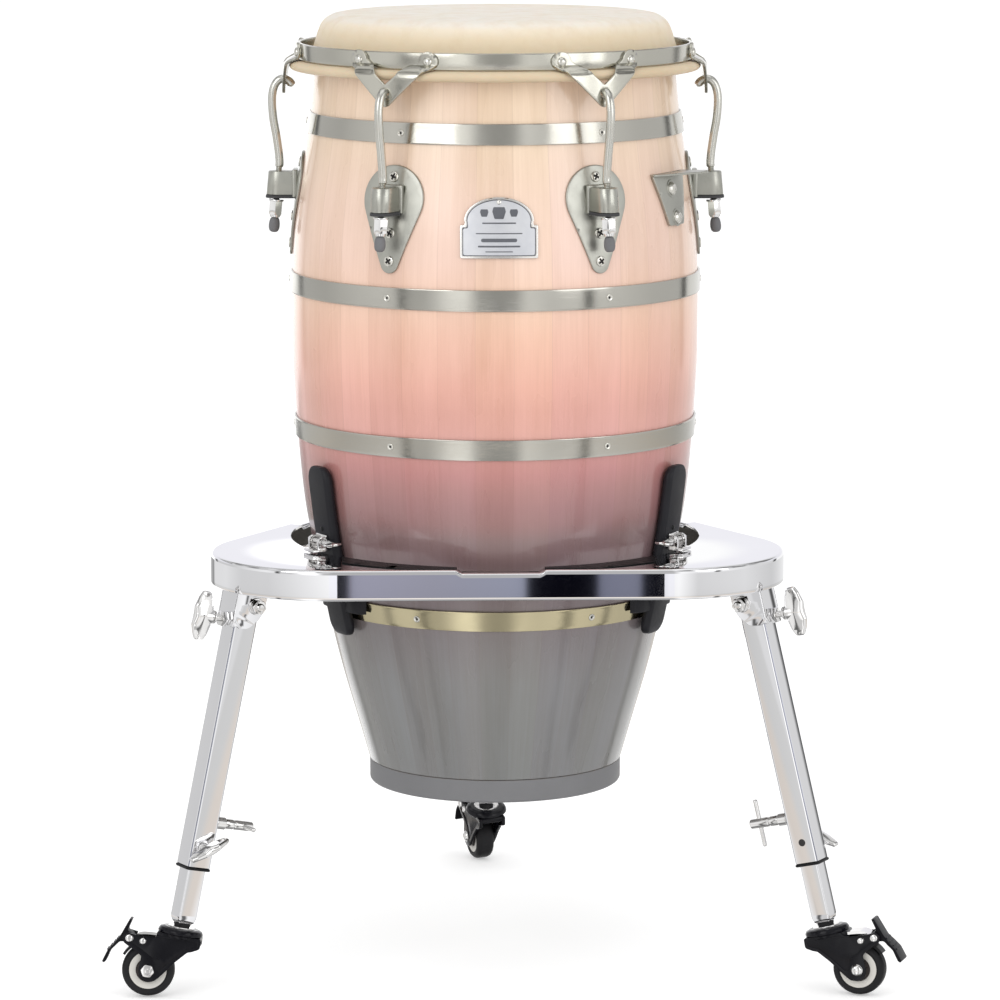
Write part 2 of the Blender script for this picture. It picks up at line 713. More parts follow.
# plain: name, sRGB colour, roughness, specular, grain scale, bump, mottle
DARK = plain('recess_dark', (40, 38, 38), 0.7, 0.5, 700.0, 0.12, 0.25)
GASKET = plain('gasket_rubber', (58, 58, 60), 0.75, 0.5, 700.0, 0.2, 0.25)
FOOT = plain('foot_rubber', (124, 124, 126), 0.5, 0.4, 500.0, 0.15, 0.06)
TIP = plain('rubber_tip', (108, 108, 110), 0.6, 0.4, 900.0, 0.2, 0.25)
ARM_RUBBER = plain('arm_rubber', (27, 27, 32), 0.46, 0.25, 1100.0, 0.2, 0.3)
BLACK = plain('caster_gloss_black', (11, 11, 17), 0.14, 0.14, 500.0, 0.03, 0.3, coat=0.10)
BLACK_SATIN = plain('black_plastic', (18, 18, 20), 0.4, 0.2, 900.0, 0.1, 0.3)
TYRE = plain('tyre_rubber', (28, 28, 30), 0.6, 0.22, 1200.0, 0.25, 0.3)
CREAM = plain('wheel_ring_cream', (224, 221, 214), 0.4, 0.5, 500.0, 0.05, 0.03)
HUB = plain('wheel_hub_dark', (52, 44, 42), 0.45, 0.3, 600.0, 0.1, 0.2)
BADGE_FACE = badge_metal()
BADGE_INK = plain('badge_enamel', (92, 94, 100), 0.35, 0.5, 800.0, 0.05, 0.2)
DULL_PLATE = metal('stand_plating_inside', (92, 92, 86), 0.42, 0.08)
CHROME_EDGE = metal('tube_corner_chrome', (132, 134, 144), 0.08, 0.03)
PEDAL_BLACK = plain('pedal_black', (13, 13, 18), 0.38, 0.10, 700.0, 0.06, 0.3)
BADGE_RIM = metal('badge_rim', (232, 230, 226), 0.16, 0.04, scale=2.0)

# ------------------------------------------------------------------ drum

# outside of the shell: z, radius
SHELL_POINTS = [
    (199.4, 126.3), (240, 138.0), (290, 152.4), (355, 168.3), (423, 183.0), (462, 189.8),
    (508, 194.7), (560, 198.6), (620, 201.1), (680, 201.2), (722, 199.6), (764, 195.0),
    (815, 186.6), (848, 181.9), (880, 178.9), (903, 177.4), (914, 174.2), (925, 168.6),
    (933, 162.8), (937.4, 154.0)]
SHELL_FOOT = SHELL_POINTS[0][0]
SHELL_TOP = SHELL_POINTS[-1][0]
shell_r = smooth_curve(SHELL_POINTS)
WALL = 12.0
BAND_GAP, BAND_THICK = 0.35, 1.9
LUGS = [('fl', 240), ('fr', 300), ('r', 0), ('br', 60), ('bl', 120), ('l', 180)]
HOOK_SPLAY = math.radians(5.2)


def hook_r(z):
    """Radius of the hooks' straight ends, which splay outward going down."""
    return 213.6 + (790 - z) * math.tan(HOOK_SPLAY)


def on_slope(az, r, z, slope):
    """Place with z out of a wall leaning at slope, and y up along it."""
    c, s = math.cos(slope), math.sin(slope)
    return rot_z(az) @ axes((0, 1, 0), (s, 0, c), (c, 0, -s), (r, 0, z))


def on_shell(az, z, lift):
    slope = math.atan((shell_r(z + 5) - shell_r(z - 5)) / 10)
    return on_slope(az, shell_r(z) + lift, z, slope)


def wrap(gap):
    """Bend that lays a sheet drawn in (across, height) on the shell, gap off it."""
    def bend(x, y, z):
        r = shell_r(y) + gap
        a = np.arcsin(x / r)
        return (r + z) * np.cos(a), (r + z) * np.sin(a), y
    return bend


def build_shell():
    heights = np.concatenate([np.linspace(SHELL_FOOT, 903, 150), np.linspace(905, 937.2, 26)])
    profile = [(shell_r(z), z) for z in heights]
    profile += [(153.2, SHELL_TOP), (151.4, 936.4), (151.2, 934.5), (154.5, 925)]
    profile += [(shell_r(z) - WALL, z) for z in [*np.linspace(903, 205, 40), SHELL_FOOT]]
    shell = make('shell_body', [(lathe(profile, 288), HERE)], 'drum', [WOOD, RAW],
                 'shell_wood', 'drum_shell', sharp=50)
    for face in shell.data.polygons:
        x, y, z = array(face.center) * 1000 - AXIS
        if z < 932 and math.hypot(x, y) < shell_r(z) - 5:
            face.material_index = 1


def build_foot_ring():
    ring = turned([(125.9, 176), (125.9, 198.6), (112.2, 198.6), (112.2, 176)],
                  [3.2, 0.8, 0.8, 2], 6, 192)
    make('foot_ring', [(ring, HERE)], 'drum', [FOOT], 'ring_rubber', 'base_ring', sharp=50)


# section of the head: r, z; over the top, round the rolled edge and back underneath
HEAD_POINTS = [
    (0.01, 940.0), (80, 940.0), (140, 939.9), (151, 939.5), (159.5, 938.0), (166.5, 934.2),
    (171.2, 929.0), (174.6, 922.0), (177.2, 914.6), (179.8, 908.0), (182.6, 903.2),
    (186.5, 900.2), (191.0, 899.0), (196.4, 898.6), (200.6, 897.0), (202.8, 893.8),
    (201.4, 890.3), (197.4, 888.7), (190.6, 888.6), (185.6, 890.2), (182.2, 894.6),
    (180.4, 900.0), (178.6, 905.6), (176.0, 913.4), (172.8, 920.8), (168.6, 927.4),
    (163.6, 932.6), (157.6, 936.2), (150, 938.0), (80, 938.4), (0.01, 938.4)]
HEAD_LIFT, LIFT_START, LIFT_SPAN = 4.6, 902.0, 28.0


def build_head():
    raised = [(r, z + HEAD_LIFT * min(1.0, max(0.0, (z - LIFT_START) / LIFT_SPAN)))
              for r, z in HEAD_POINTS]
    profile = [(r if r > 0.3 else 0.0, z) for r, z in spline(raised, 5)]
    make('head_skin', [(lathe(profile, 240, closed=False), HERE)], 'drum', [HIDE],
         'rawhide', 'drumhead', sharp=60)


# name, bottom z, top z, material, slot, azimuths of the pins
BANDS = [
    ('band_top', 828.3, 848.4, BAND_STEEL, 'band_steel', (241.0, 303.6, 1, 61, 121, 181)),
    ('band_upper', 671.1, 691.6, BAND_STEEL, 'band_steel', (239.5, 302.7, 0, 60, 120, 180)),
    ('band_middle', 527.0, 547.0, BAND_STEEL, 'band_steel', (239.7, 303.0, 0, 60, 120, 180)),
    ('band_lower', 355.6, 375.3, BAND_BRASS, 'band_brass', (244, 303.0, 4, 64, 124, 184))]


def build_band(name, z0, z1, material, slot, pin_azimuths):
    def inner_r(z):
        return shell_r(z) + BAND_GAP
    face = [(inner_r(z) + BAND_THICK, z) for z in [z0 + (z1 - z0) * i / 12 for i in range(13)]]
    low, high = face[0][0], face[-1][0]
    profile = [(low - BAND_THICK, z0), (low - 0.5, z0), (low - 0.12, z0 + 0.18), (low, z0 + 0.6)]
    profile += face[1:-1]
    profile += [(high, z1 - 0.6), (high - 0.12, z1 - 0.18), (high - 0.5, z1),
                (high - BAND_THICK, z1)]
    profile += [(inner_r(z), z) for z in [z0 + (z1 - z0) * i / 4 for i in (3, 2, 1)]]
    make(name + '_hoop', [(lathe(profile, 288), HERE)], 'drum', [material], slot, name, sharp=40)
    ring = turned([(0.9, -0.3), (3.5, -0.3), (3.3, 0.55), (2.7, 0.75), (1.5, 0.35), (0.9, -0.1)],
                  0.25, 3, 32)
    core = lathe([(0, 0.05), (1.2, 0.05), (1.5, -0.3), (0, -0.3)], 24)
    middle = (z0 + z1) / 2
    slope = math.atan((shell_r(z1) - shell_r(z0)) / (z1 - z0))
    parts = []
    for az in pin_azimuths:
        place = on_slope(az, inner_r(middle) + BAND_THICK, middle, slope)
        parts += [(ring, place), (core, place, DARK)]
    make(name + '_pins', parts, 'drum', [SCREW, DARK], 'satin_steel')


# counterhoop: flat hoop with six riveted V plates, which step outward below the hoop
V_THICK = 3.0
V_TOP_R, V_LOW_R = 194.7, 206.6       # inner face above and below the step
V_BEND_Z = 902.6
RIVET_AZ, RIVET_Z = 11.2, 907.4       # rivets either side of the V's middle
V_LINE = array(fillet([(V_TOP_R, 930), (V_TOP_R, V_BEND_Z), (V_LOW_R - 0.6, V_BEND_Z - 7.0),
                       (V_LOW_R + 0.6, 850)], 3.2, 8, closed=False))[::-1]


def bend_v(x, y, z):
    """Lays x across, y up and z out from the stepped line, round the drum."""
    tangent = np.gradient(V_LINE[::-1], axis=0)[::-1]
    tangent /= np.linalg.norm(tangent, axis=1)[:, None]
    r, along_r, along_z = [np.interp(y, V_LINE[:, 1], values)
                           for values in (V_LINE[:, 0], tangent[:, 0], tangent[:, 1])]
    out_r, out_z = r - z * along_z, y + z * along_r
    a = np.arcsin(np.clip(x / np.maximum(r, 1), -1, 1))
    return out_r * np.cos(a), out_r * np.sin(a), out_z


def v_outline():
    """Two straps from a rounded foot up to an ear round each rivet."""
    foot, half_strap, ear_r = array([0, 871.6]), 14.6 / 2, 9.6
    ear = array([194.6 * math.sin(math.radians(RIVET_AZ)), RIVET_Z])
    along = unit(ear - foot)
    side = math.atan2(-along[0], along[1])
    heading = math.atan2(along[1], along[0])
    neck = math.asin(half_strap / ear_r)
    bottom = arc(foot, half_strap, -PI - side, side, 12)
    right = arc(ear, ear_r, heading - (PI - neck), heading + (PI - neck), 24)
    left = [(-x, y) for x, y in right[::-1]]
    crotch = [(2.2, 887.4), (0.8, 886.0), (-0.8, 886.0), (-2.2, 887.4)]
    return bottom + right + crotch + left


def build_counterhoop():
    hoop = turned([(191.4, 899.4), (194.6, 899.4), (194.6, 915.9), (191.4, 915.9)],
                  [0.7, 1.0, 1.2, 0.9], 4, 288)
    plate = sheet([resample(v_outline(), 1.6), circle(4.7, 28, (0, 877.6), clockwise=True)],
                  V_THICK, bend_v, bev=0.55, grid=2.6)
    rivet = lathe([(0, 2.5), (1.6, 2.4), (3.0, 1.9), (4.1, 1.0), (4.6, 0.0), (4.6, -0.8),
                   (0, -0.8)], 32)
    parts = [(hoop, HERE)]
    for _, az in LUGS:
        parts.append((plate, rot_z(az)))
        for side in (1, -1):
            place = rot_z(az + side * RIVET_AZ) @ outward(V_TOP_R + V_THICK, RIVET_Z)
            parts.append((rivet, place, SCREW))
    make('rim_counterhoop', parts, 'rim', [RIM_STEEL, SCREW], 'satin_steel', 'rim_hoop', sharp=38)


# J-hook, from its tip over the top and down: r, z
HOOK_POINTS = [
    (200.2, 872.0), (201.4, 874.6), (203.6, 876.7), (208.2, 878.7), (213.2, 877.4),
    (217.2, 872.6), (219.4, 865), (220, 855), (218.9, 840), (216.2, 824), (213.9, 808),
    (213.0, 798)]
HOOK_RADIUS = 4.15


def build_hooks():
    curve = list(spline([(r, 0, z) for r, z in HOOK_POINTS], 6))
    path = [(199.6, 0, 871.2)] + curve
    radii = [1.2, 2.6, 3.5, 3.95] + [HOOK_RADIUS] * (len(curve) - 3)
    # shoulder above the thread
    path += [(213.0, 0, 795.0), (hook_r(792.6), 0, 792.6), (hook_r(791.8), 0, 791.8)]
    radii += [HOOK_RADIUS, 4.1, 3.4]
    z = 791.4
    while z > 735.5:
        for drop, radius in ((0.0, 2.72), (0.3125, 2.95), (0.625, 3.1), (0.9375, 2.95)):
            path.append((hook_r(z - drop), 0, z - drop))
            radii.append(radius)
        z -= 1.25
    path.append((hook_r(735), 0, 735))
    radii.append(2.2)
    hook = rod(path, radii, 18)
    for name, az in LUGS:
        make('hook_' + name, [(hook, rot_z(az))], 'rim', [HOOK_STEEL], 'chrome',
             'tension_hook_' + name, sharp=50)


def pan_screw():
    """Pan head with a cross recess, and the floor of the recess."""
    radius, crown = 5.2, 0.9
    arm, half = 0.62 * radius, 0.17 * radius
    cross = []
    for k in range(4):
        c, s = math.cos(PI / 2 * k), math.sin(PI / 2 * k)
        for x, y in ((arm, -half), (arm, half), (half, half)):
            cross.append((c * x - s * y, s * x + c * y))

    def dome(x, y, z):
        return x, y, z + z * crown * (1 - (x * x + y * y) / (radius * radius))
    head = sheet([circle(radius, 40), resample(cross, 0.8)], 1.0, dome, bev=0.35, grid=1.0)
    floor = lathe([(0, 0.25), (radius * 0.7, 0.25), (radius * 0.7, 0), (0, 0)], 24)
    return head, floor


def teardrop():
    """Lug plate outline: a large arc at the top and a small one at the bottom."""
    top_r, low_r = 32.5, 9.5
    top_z, low_z = 808 - top_r, 705 + low_r
    phi = PI / 2 - math.acos((top_r - low_r) / (top_z - low_z))
    return (arc((0, top_z), top_r, -phi, PI + phi, 48)
            + arc((0, low_z), low_r, PI + phi, 2 * PI - phi, 16))


def lug_block(z0, z1, grow, bevel):
    """Block from the shell to a half-round nose on the hook's line."""
    half = 10.25 + grow
    rings = []
    for z, inset in ((z0, bevel), (z0 + bevel * 0.3, bevel * 0.3), (z0 + bevel, 0),
                     (z1 - bevel, 0), (z1 - bevel * 0.3, bevel * 0.3), (z1, bevel)):
        r, back = hook_r(z), shell_r(z) + 1.2
        nose = arc((r, 0), half, -PI / 2, PI / 2, 20)[1:-1]
        ring = array([(back, -half), (r - 1.5, -half)] + nose + [(r - 1.5, half), (back, half)])
        ring[:, 1] = np.sign(ring[:, 1]) * np.maximum(np.abs(ring[:, 1]) - inset, 0)
        ring[2:-2, 0] -= inset
        rings.append(np.column_stack([ring, np.full(len(ring), z)]))
    return loft(rings)


def build_lugs():
    head, recess = pan_screw()
    plate = sheet([resample(teardrop(), 3.0)], 2.4, wrap(0.45), bev=0.9, grid=4.5, low_bev=0.1)
    block = lug_block(764.6, 788.0, 0.0, 0.8)
    back = shell_r(776)
    flange = box(back + 2.0, back + 7.0, -13.2, 13.2, 762.5, 790.0, 1.4, 4)
    gasket = lug_block(761.4, 764.4, 0.6, 0.4)
    for name, az in LUGS:
        parts = [(mesh, rot_z(az)) for mesh in (plate, block, flange)]
        parts.append((gasket, rot_z(az), GASKET))
        for z, turn in ((797.0, 67.0), (743.5, 63.5), (716.8, 36.8)):
            place = on_shell(az, z, 2.8) @ rot_z(turn)
            parts += [(head, place, SCREW), (recess, place, DARK)]
        make('lug_' + name, parts, 'drum', [PLATE_STEEL, GASKET, SCREW, DARK], 'satin_steel',
             'lug_plate_' + name)


def build_nuts():
    """Tension nuts, and the rubber tip on each thread's end."""
    nut = hex_nut(12.4, 15.2)
    flange = turned([(3.6, 13.4), (7.3, 13.4), (7.6, 14.4), (7.4, 15.4), (3.6, 15.4)], 0.35, 3, 40)
    cone = turned([(3.6, -2.6), (4.8, -2.6), (5.9, 0.4), (3.6, 0.4)], 0.35, 3, 40)
    tip = domed([(0.0, 0), (2.6, 0.3), (4.4, 1.8), (5.3, 4.6), (5.4, 8.2), (4.9, 11.6),
                 (4.0, 13.8), (3.2, 14.4), (0.0, 14.5)], 5, 32)

    def on_hook(az, z, upper):
        direction = (hook_r(upper) - hook_r(z), 0, upper - z)
        return rot_z(az) @ aim((hook_r(z), 0, z), direction, (0, 1, 0))
    for name, az in LUGS:
        place = on_hook(az, 744.5, 760.2)
        make('nut_' + name, [(mesh, place) for mesh in (nut, flange, cone)], 'nut_' + name,
             [CHROME_SMALL], 'chrome', 'tension_nut_' + name, sharp=30)
        make('tip_' + name, [(tip, on_hook(az, 727, 743))], 'nut_' + name, [TIP],
             'ring_rubber', sharp=50)


def badge_outline(inset=0.0, step=2.0):
    """Upright plate with square lower corners, a shoulder each side and a domed top."""
    half, low, shoulder = 37.0 - inset, 722 + inset, 753.5 - inset
    dome, top, spring = 32.4 - inset, 780.0 - inset, 757.5
    crown = [(dome, shoulder + 3.0)]
    for i in range(41):
        a = PI * i / 40
        crown.append(((dome + 0.6) * math.cos(a), spring + (top - spring) * math.sin(a)))
    crown.append((-dome, shoulder + 3.0))
    points = [(-half, low), (half, low), (half, shoulder), (dome + 0.3, shoulder)]
    points += crown + [(-dome - 0.3, shoulder), (-half, shoulder)]
    radii = [1.6, 1.6, 1.6, 1.2] + [0] * len(crown) + [1.2, 1.6]
    return resample(fillet(points, radii, 4), step)


BADGE_AZ = 271.2
# ruled lines of the badge: half length, z, width
BADGE_LINES = [(22, 745.6, 1.0), (17, 739.2, 3.4), (20, 733.4, 1.6), (13, 728.4, 0.9),
               (16, 755.4, 1.3)]
# one drum-shaped lozenge about its centre, and where three of them stand: x, scale
LOZENGE = [(-4.2, -5.6), (4.2, -5.6), (6.4, 1.5), (5.2, 5.6), (-5.2, 5.6), (-6.4, 1.5)]
LOZENGE_Z = 765
LOZENGES = [(0, 1.0), (-14, 0.62), (14, 0.62)]


def build_badge():
    """Plate with a raised border, a dark channel inside it and raised ornament."""
    def raised(loops, thick, bev, **more):
        return sheet(loops, thick, wrap(0.5), bev=bev, low_bev=0.0, **more)
    place = rot_z(BADGE_AZ)
    parts = [(raised([badge_outline(step=3.0)], 1.3, 0.35, grid=4), place),
             (raised([badge_outline(), badge_outline(2.3)], 1.9, 0.5), place, BADGE_RIM),
             (raised([badge_outline(2.3), badge_outline(3.1)], 1.42, 0.05), place, BADGE_INK)]
    for half, z, width in BADGE_LINES:
        line = resample(round_rect(2 * half, width, width * 0.45, 3, (0, z)), 2.5)
        parts.append((raised([line], 1.5, 0.06), place, BADGE_INK))
    for centre, scale in LOZENGES:
        points = [(centre + x * scale, LOZENGE_Z + y * scale) for x, y in LOZENGE]
        shape = resample(fillet(points, 0.8, 4), 1.5)
        parts.append((raised([shape], 1.5, 0.08), place, BADGE_INK))
    tack = lathe([(0, 1.2), (1.2, 1.0), (2.2, 0.4), (2.4, 0), (0, 0)], 24)
    parts.append((tack, on_shell(BADGE_AZ, 775.2, 1.8), BADGE_RIM))
    make('badge_plate', parts, 'drum', [BADGE_FACE, BADGE_INK, BADGE_RIM], 'badge_face', 'badge')


def build_side_bracket():
    """Bolted plate on the shell with a shelf standing out from its top edge."""
    az, low, high = 332.0, 743.5, 794.5
    outline = fillet([(-14.0, low), (16.0, low), (30.5, high), (-34.5, high)],
                     [3.0, 3.0, 2.5, 3.5], 6)
    plate = sheet([resample(outline, 2.5)], 3.0, wrap(0.5), bev=0.7, grid=4, low_bev=0.1)
    r = shell_r(high) + 0.45
    back = [(math.sqrt((r + 0.7) ** 2 - y * y), y) for y in np.linspace(-34, 33, 16)]
    shelf = fillet(back + [(r + 23, 34), (r + 29, 30.5), (r + 29.5, 26), (r + 3, -35.5)],
                   [0] * 16 + [4, 3, 3, 3], 5)
    bolt = turned([(0, 4.4), (4.2, 3.8), (6.4, 1.6), (6.6, 0), (0, 0)],
                  [0, 2.0, 2.2, 0.2, 0], 5, 36)
    seat = turned([(6.6, 0), (9.0, 0), (8.6, 0.9), (6.6, 0.9)], 0.25, 3, 40)
    low_bolt, high_bolt = (az + 0.2, 751.0), (az - 1.2, 779.0)
    parts = [(plate, rot_z(az)),
             (sheet([resample(shelf, 3.0)], 2.0, bev=0.6), rot_z(az) @ shift(0, 0, high - 2.0)),
             (bolt, on_shell(*low_bolt, 3.2), SCREW),
             (seat, on_shell(*low_bolt, 3.1)), (seat, on_shell(*high_bolt, 3.1)),
             (bolt, on_shell(*high_bolt, 3.2), SCREW)]
    make('side_plate', parts, 'drum', [PLATE_STEEL, SCREW, DARK], 'satin_steel', 'side_bracket')


# ------------------------------------------------------------------ basket stand

STAND_TURN = 1.6                        # the stand is turned this far against the drum
PIVOT_R, PIVOT_Z = 281.7, 379.0         # the leg's pivot bolt
PIVOT_INSET = 5.5                       # from the leg's centre line in to the pivot bolt


def leg_place(az, tilt):
    """The leg runs down -z from its top; x is outward and y goes across it."""
    c, s = math.cos(math.radians(tilt)), math.sin(math.radians(tilt))
    return (rot_z(az) @ axes((c, 0, s), (0, 1, 0), (-s, 0, c), (PIVOT_R, 0, PIVOT_Z))
            @ shift(PIVOT_INSET, 0, 0))


# name, azimuth, the y side its nuts face, place
LEGS = [(name, az + STAND_TURN, nut_side, leg_place(az + STAND_TURN, tilt))
        for name, az, nut_side, tilt in (('left', 210, 1, 12.8), ('right', 330, -1, 14.4),
                                         ('rear', 90, 1, 12.8))]

# top plate: z levels, and the round hole through it
PLATE_TOP, PLATE_UNDER = 424.0, 421.0
HOLE_SEGMENTS = 240
HOLE_EDGE = [(204.7, 424.0), (204.3, 423.9), (204.05, 423.6), (204.0, 423.2), (204.0, 421.8),
             (204.2, 421.2), (204.7, 421.0)]          # r, z


def ring_outline():
    """Three lobes, one over each leg, joined by straight sides."""
    points = []
    for az in (90 + STAND_TURN, 210 + STAND_TURN, 330 + STAND_TURN):
        a = math.radians(az)
        points += arc((184 * math.cos(a), 184 * math.sin(a)), 122, a - PI / 3, a + PI / 3, 72)
    return resample(points, 3.0)


def notch(verts):
    """Lowers the plate's rim a little at the middle of each straight side."""
    for az in (30 + STAND_TURN, 150 + STAND_TURN, 270 + STAND_TURN):
        c, s = math.cos(math.radians(az)), math.sin(math.radians(az))
        out = verts[:, 0] * c + verts[:, 1] * s
        aside = np.abs(-verts[:, 0] * s + verts[:, 1] * c)
        weight = np.where(out > 190, 1 - np.clip((aside - 38.5) / 4.0, 0, 1), 0)
        verts[:, 2] -= 3.2 * weight * np.clip((verts[:, 2] - 411) / 7.0, 0, 1)


def stand_ring():
    """Plate with a rounded, turned-down lip: its polished and its dull faces."""
    loop = ring_outline()
    mitre, count = mitres(loop), len(loop)
    corner = 3.4
    # inset from the outline, z: over the edge, down the lip, under it and back up inside
    rows = [(6.5, PLATE_TOP), (5.0, PLATE_TOP)]
    for i in range(11):
        a = PI / 2 * (1 - i / 10)
        rows.append((corner - corner * math.cos(a), PLATE_TOP - corner + corner * math.sin(a)))
    rows += [(0, 419.2), (0, 414), (0, 405), (0, 398), (0, 396.4)]
    for i in range(1, 9):
        a = PI * i / 8
        rows.append((1.5 - 1.5 * math.cos(a), 395.2 - 1.2 * math.sin(a)))
    inner_start = len(rows) * count
    rows += [(3, 398), (3, 410), (3, 418)]
    for i in range(1, 7):
        a = PI / 2 * i / 6
        rows.append((6 - 3 * math.cos(a), 418 + 3 * math.sin(a)))
    rows.append((6.5, PLATE_UNDER))
    base = len(rows) * count
    layers = [np.column_stack([loop + mitre * inset, np.full(count, z)]) for inset, z in rows]
    layers += [np.column_stack([circle(r, HOLE_SEGMENTS), np.full(HOLE_SEGMENTS, z)])
               for r, z in HOLE_EDGE]
    verts = np.concatenate(layers)
    faces = strip(0, len(rows), count, flip=True) + strip(base, len(HOLE_EDGE), HOLE_SEGMENTS)
    for edge, hole, up in ((0, base, True), (base - count, len(verts) - HOLE_SEGMENTS, False)):
        ids = [*range(edge, edge + count), *range(hole, hole + HOLE_SEGMENTS)]
        _, triangles, source = fill([verts[edge:edge + count, :2],
                                     verts[hole:hole + HOLE_SEGMENTS, :2]])
        for triangle in triangles:
            face = [ids[source[v]] for v in triangle]
            faces.append(face if up else face[::-1])
    notch(verts)

    # the lip's inside and the plate's underside are plated but never polished
    def is_dull(face):
        in_lip = min(face) >= inner_start and max(face) < base
        return in_lip or (len(face) == 3 and max(verts[v][2] for v in face) < 421.5)
    return ((verts, [face for face in faces if not is_dull(face)]),
            (verts, [face for face in faces if is_dull(face)]))


def bridge_pad():
    """Thin black strip for the plate between the hole and the straight side."""
    across = np.linspace(42, 152, 24)
    outer = [(x, min(210.4, math.sqrt(229.0 ** 2 - x * x))) for x in across]
    inner = [(x, math.sqrt(204.6 ** 2 - x * x)) for x in across]
    return sheet([resample(inner + outer[::-1], 3.0)], 0.7, bev=0.3)


CHEEK_Y, CHEEK_THICK = 13.6, 3.0          # inner face of the bracket's cheeks
WEB_IN, WEB_OUT = 13.4, 16.4
FOLD_Z = -17.5                            # fold bolt, down the leg


def build_stand_ring():
    polished, dull = stand_ring()
    parts = [(polished, HERE), (dull, HERE, DULL_PLATE)]
    pad = bridge_pad()
    for side, z in ((1, 424.8), (-1, 424.1)):
        place = axes((0, side, 0), (1, 0, 0), (0, 0, -side), (0, 0, z))
        parts.append((pad, rot_z(270 + STAND_TURN) @ place, BLACK_SATIN))
    # leg brackets: channel with rounded cheeks under each lobe, with the pivot bolt
    outline = fillet([(WEB_OUT, 38), (WEB_OUT, -18), (WEB_OUT - 2, -22.6), (WEB_OUT - 7, -23.8),
                      (-2, -22.8), (-11, -13), (-16, -2), (-16, 38)],
                     [0, 3, 3, 4, 10, 9, 8, 0], 6)
    cheek = sheet([resample(outline, 3.0)], CHEEK_THICK, bev=0.7)
    web = box(WEB_IN, WEB_OUT, -16.2, 16.2, -23.3, 37, 1.0, 3)
    nut = hex_nut(13.0, 6.5)
    bolt_end = turned([(0, 5.4), (3.2, 5.4), (4.2, 4.2), (4.2, 0), (0, 0)],
                      [0, 0.8, 1.2, 0, 0], 4, 32)
    washer = turned([(3.9, 0), (8.2, 0), (8.2, 1.3), (3.9, 1.3)], 0.4, 3, 40)
    head = domed([(0, 5.0), (2.6, 4.7), (5.2, 3.6), (6.9, 1.7), (7.2, 0.2), (0, 0)], 4, 40)
    cheek_out = CHEEK_Y + CHEEK_THICK
    for _, _, nut_side, leg in LEGS:
        for y in (-CHEEK_Y, cheek_out):
            parts.append((cheek, leg @ side_on(y=y)))
        parts.append((web, leg))
        nut_end, head_end = [leg @ aim((-PIVOT_INSET, cheek_out * y, 0), (0, y, 0), (1, 0, 0))
                             for y in (nut_side, -nut_side)]
        pin = rod([(-PIVOT_INSET, -16, 0), (-PIVOT_INSET, 16, 0)], 3.9, 24)
        fold_nut = leg @ aim((WEB_OUT, 0, FOLD_Z), (1, 0, 0), (0, 1, 0))
        parts += [(mesh, place, CHROME_SMALL) for mesh, place in (
            (washer, nut_end), (nut, nut_end @ shift(0, 0, 1.2)),
            (bolt_end, nut_end @ shift(0, 0, 5.2)), (washer, head_end),
            (head, head_end @ shift(0, 0, 1.2)), (pin, leg), (hex_nut(14.0, 6.0), fold_nut))]
    make('stand_ring_plate', parts, 'stand', [CHROME, CHROME_SMALL, DULL_PLATE, BLACK_SATIN],
         'chrome', 'stand_ring', sharp=32)


# ------------------------------------------------------------------ wing and tee bolts

TUBE_W, INNER_W = 25.0, 19.4              # widths of the leg's two square tubes
TUBE_HALF = TUBE_W / 2
BOLT_TIP = INNER_W / 2 + 0.35             # lock and tee bolts stop just off the inner tube
LOCK_Z, TEE_Z = -240, -216                # down the leg


def thread(length, radius):
    """Threaded shank along z."""
    path, radii = [(0, 0, 0)], [radius * 0.8]
    z = 0.15
    while z < length - 0.2:
        for rise, share in ((0, 0.9), (0.31, 0.97), (0.62, 1.0), (0.93, 0.97)):
            if z + rise < length - 0.1:
                path.append((0, 0, z + rise))
                radii.append(radius * share)
        z += 1.25
    path.append((0, 0, length))
    radii.append(radius * 0.8)
    return rod(path, radii, 16)


# edge of a wing above its middle, in half widths and half spans
WING_EDGE = [(-0.96, 0.08), (-1.0, 0.34), (-0.80, 0.70), (-0.46, 0.98), (0.40, 1), (0.74, 0.74),
             (1.02, 0.36), (0.94, 0.08)]


def wing_blade(half_width, half_span, thick):
    """Cast wing seen flat: x along the bolt, y the span; thickest at its middle."""
    upper = [(half_width * x, half_span * y) for x, y in WING_EDGE]
    lower = [(x, -y) for x, y in upper][::-1]
    outline = array(fillet(upper + lower, half_width * 0.34, 5))[::-1]

    def swell(x, y, z):
        along = np.clip(np.abs(y) / half_span, 0, 1)
        across = 1 - 0.55 * np.clip(np.abs(x) / half_width, 0, 1) ** 1.5
        local = thick * (0.80 + 0.95 * np.clip(1 - along * 1.15, 0, 1) ** 1.4 * across)
        return x, y, (z / thick - 0.5) * local
    return sheet([resample(outline, 1.6)], thick, swell, bev=thick * 0.42, grid=2.4)


def bolt_hub(r, length):
    return turned([(0, 0), (r * 1.18, 0), (r * 1.05, length * 0.32), (r * 0.82, length * 0.8),
                   (r * 0.7, length), (0, length)], [0, 0.8, 2, 2, 1.0, 0], 4, 36)


FOLD_BLADE, LOCK_BLADE, CLAMP_BLADE = [
    wing_blade(*size) for size in ((10.0, 24.4, 7.0), (8.8, 22.2, 5.8), (4.0, 9.6, 2.8))]


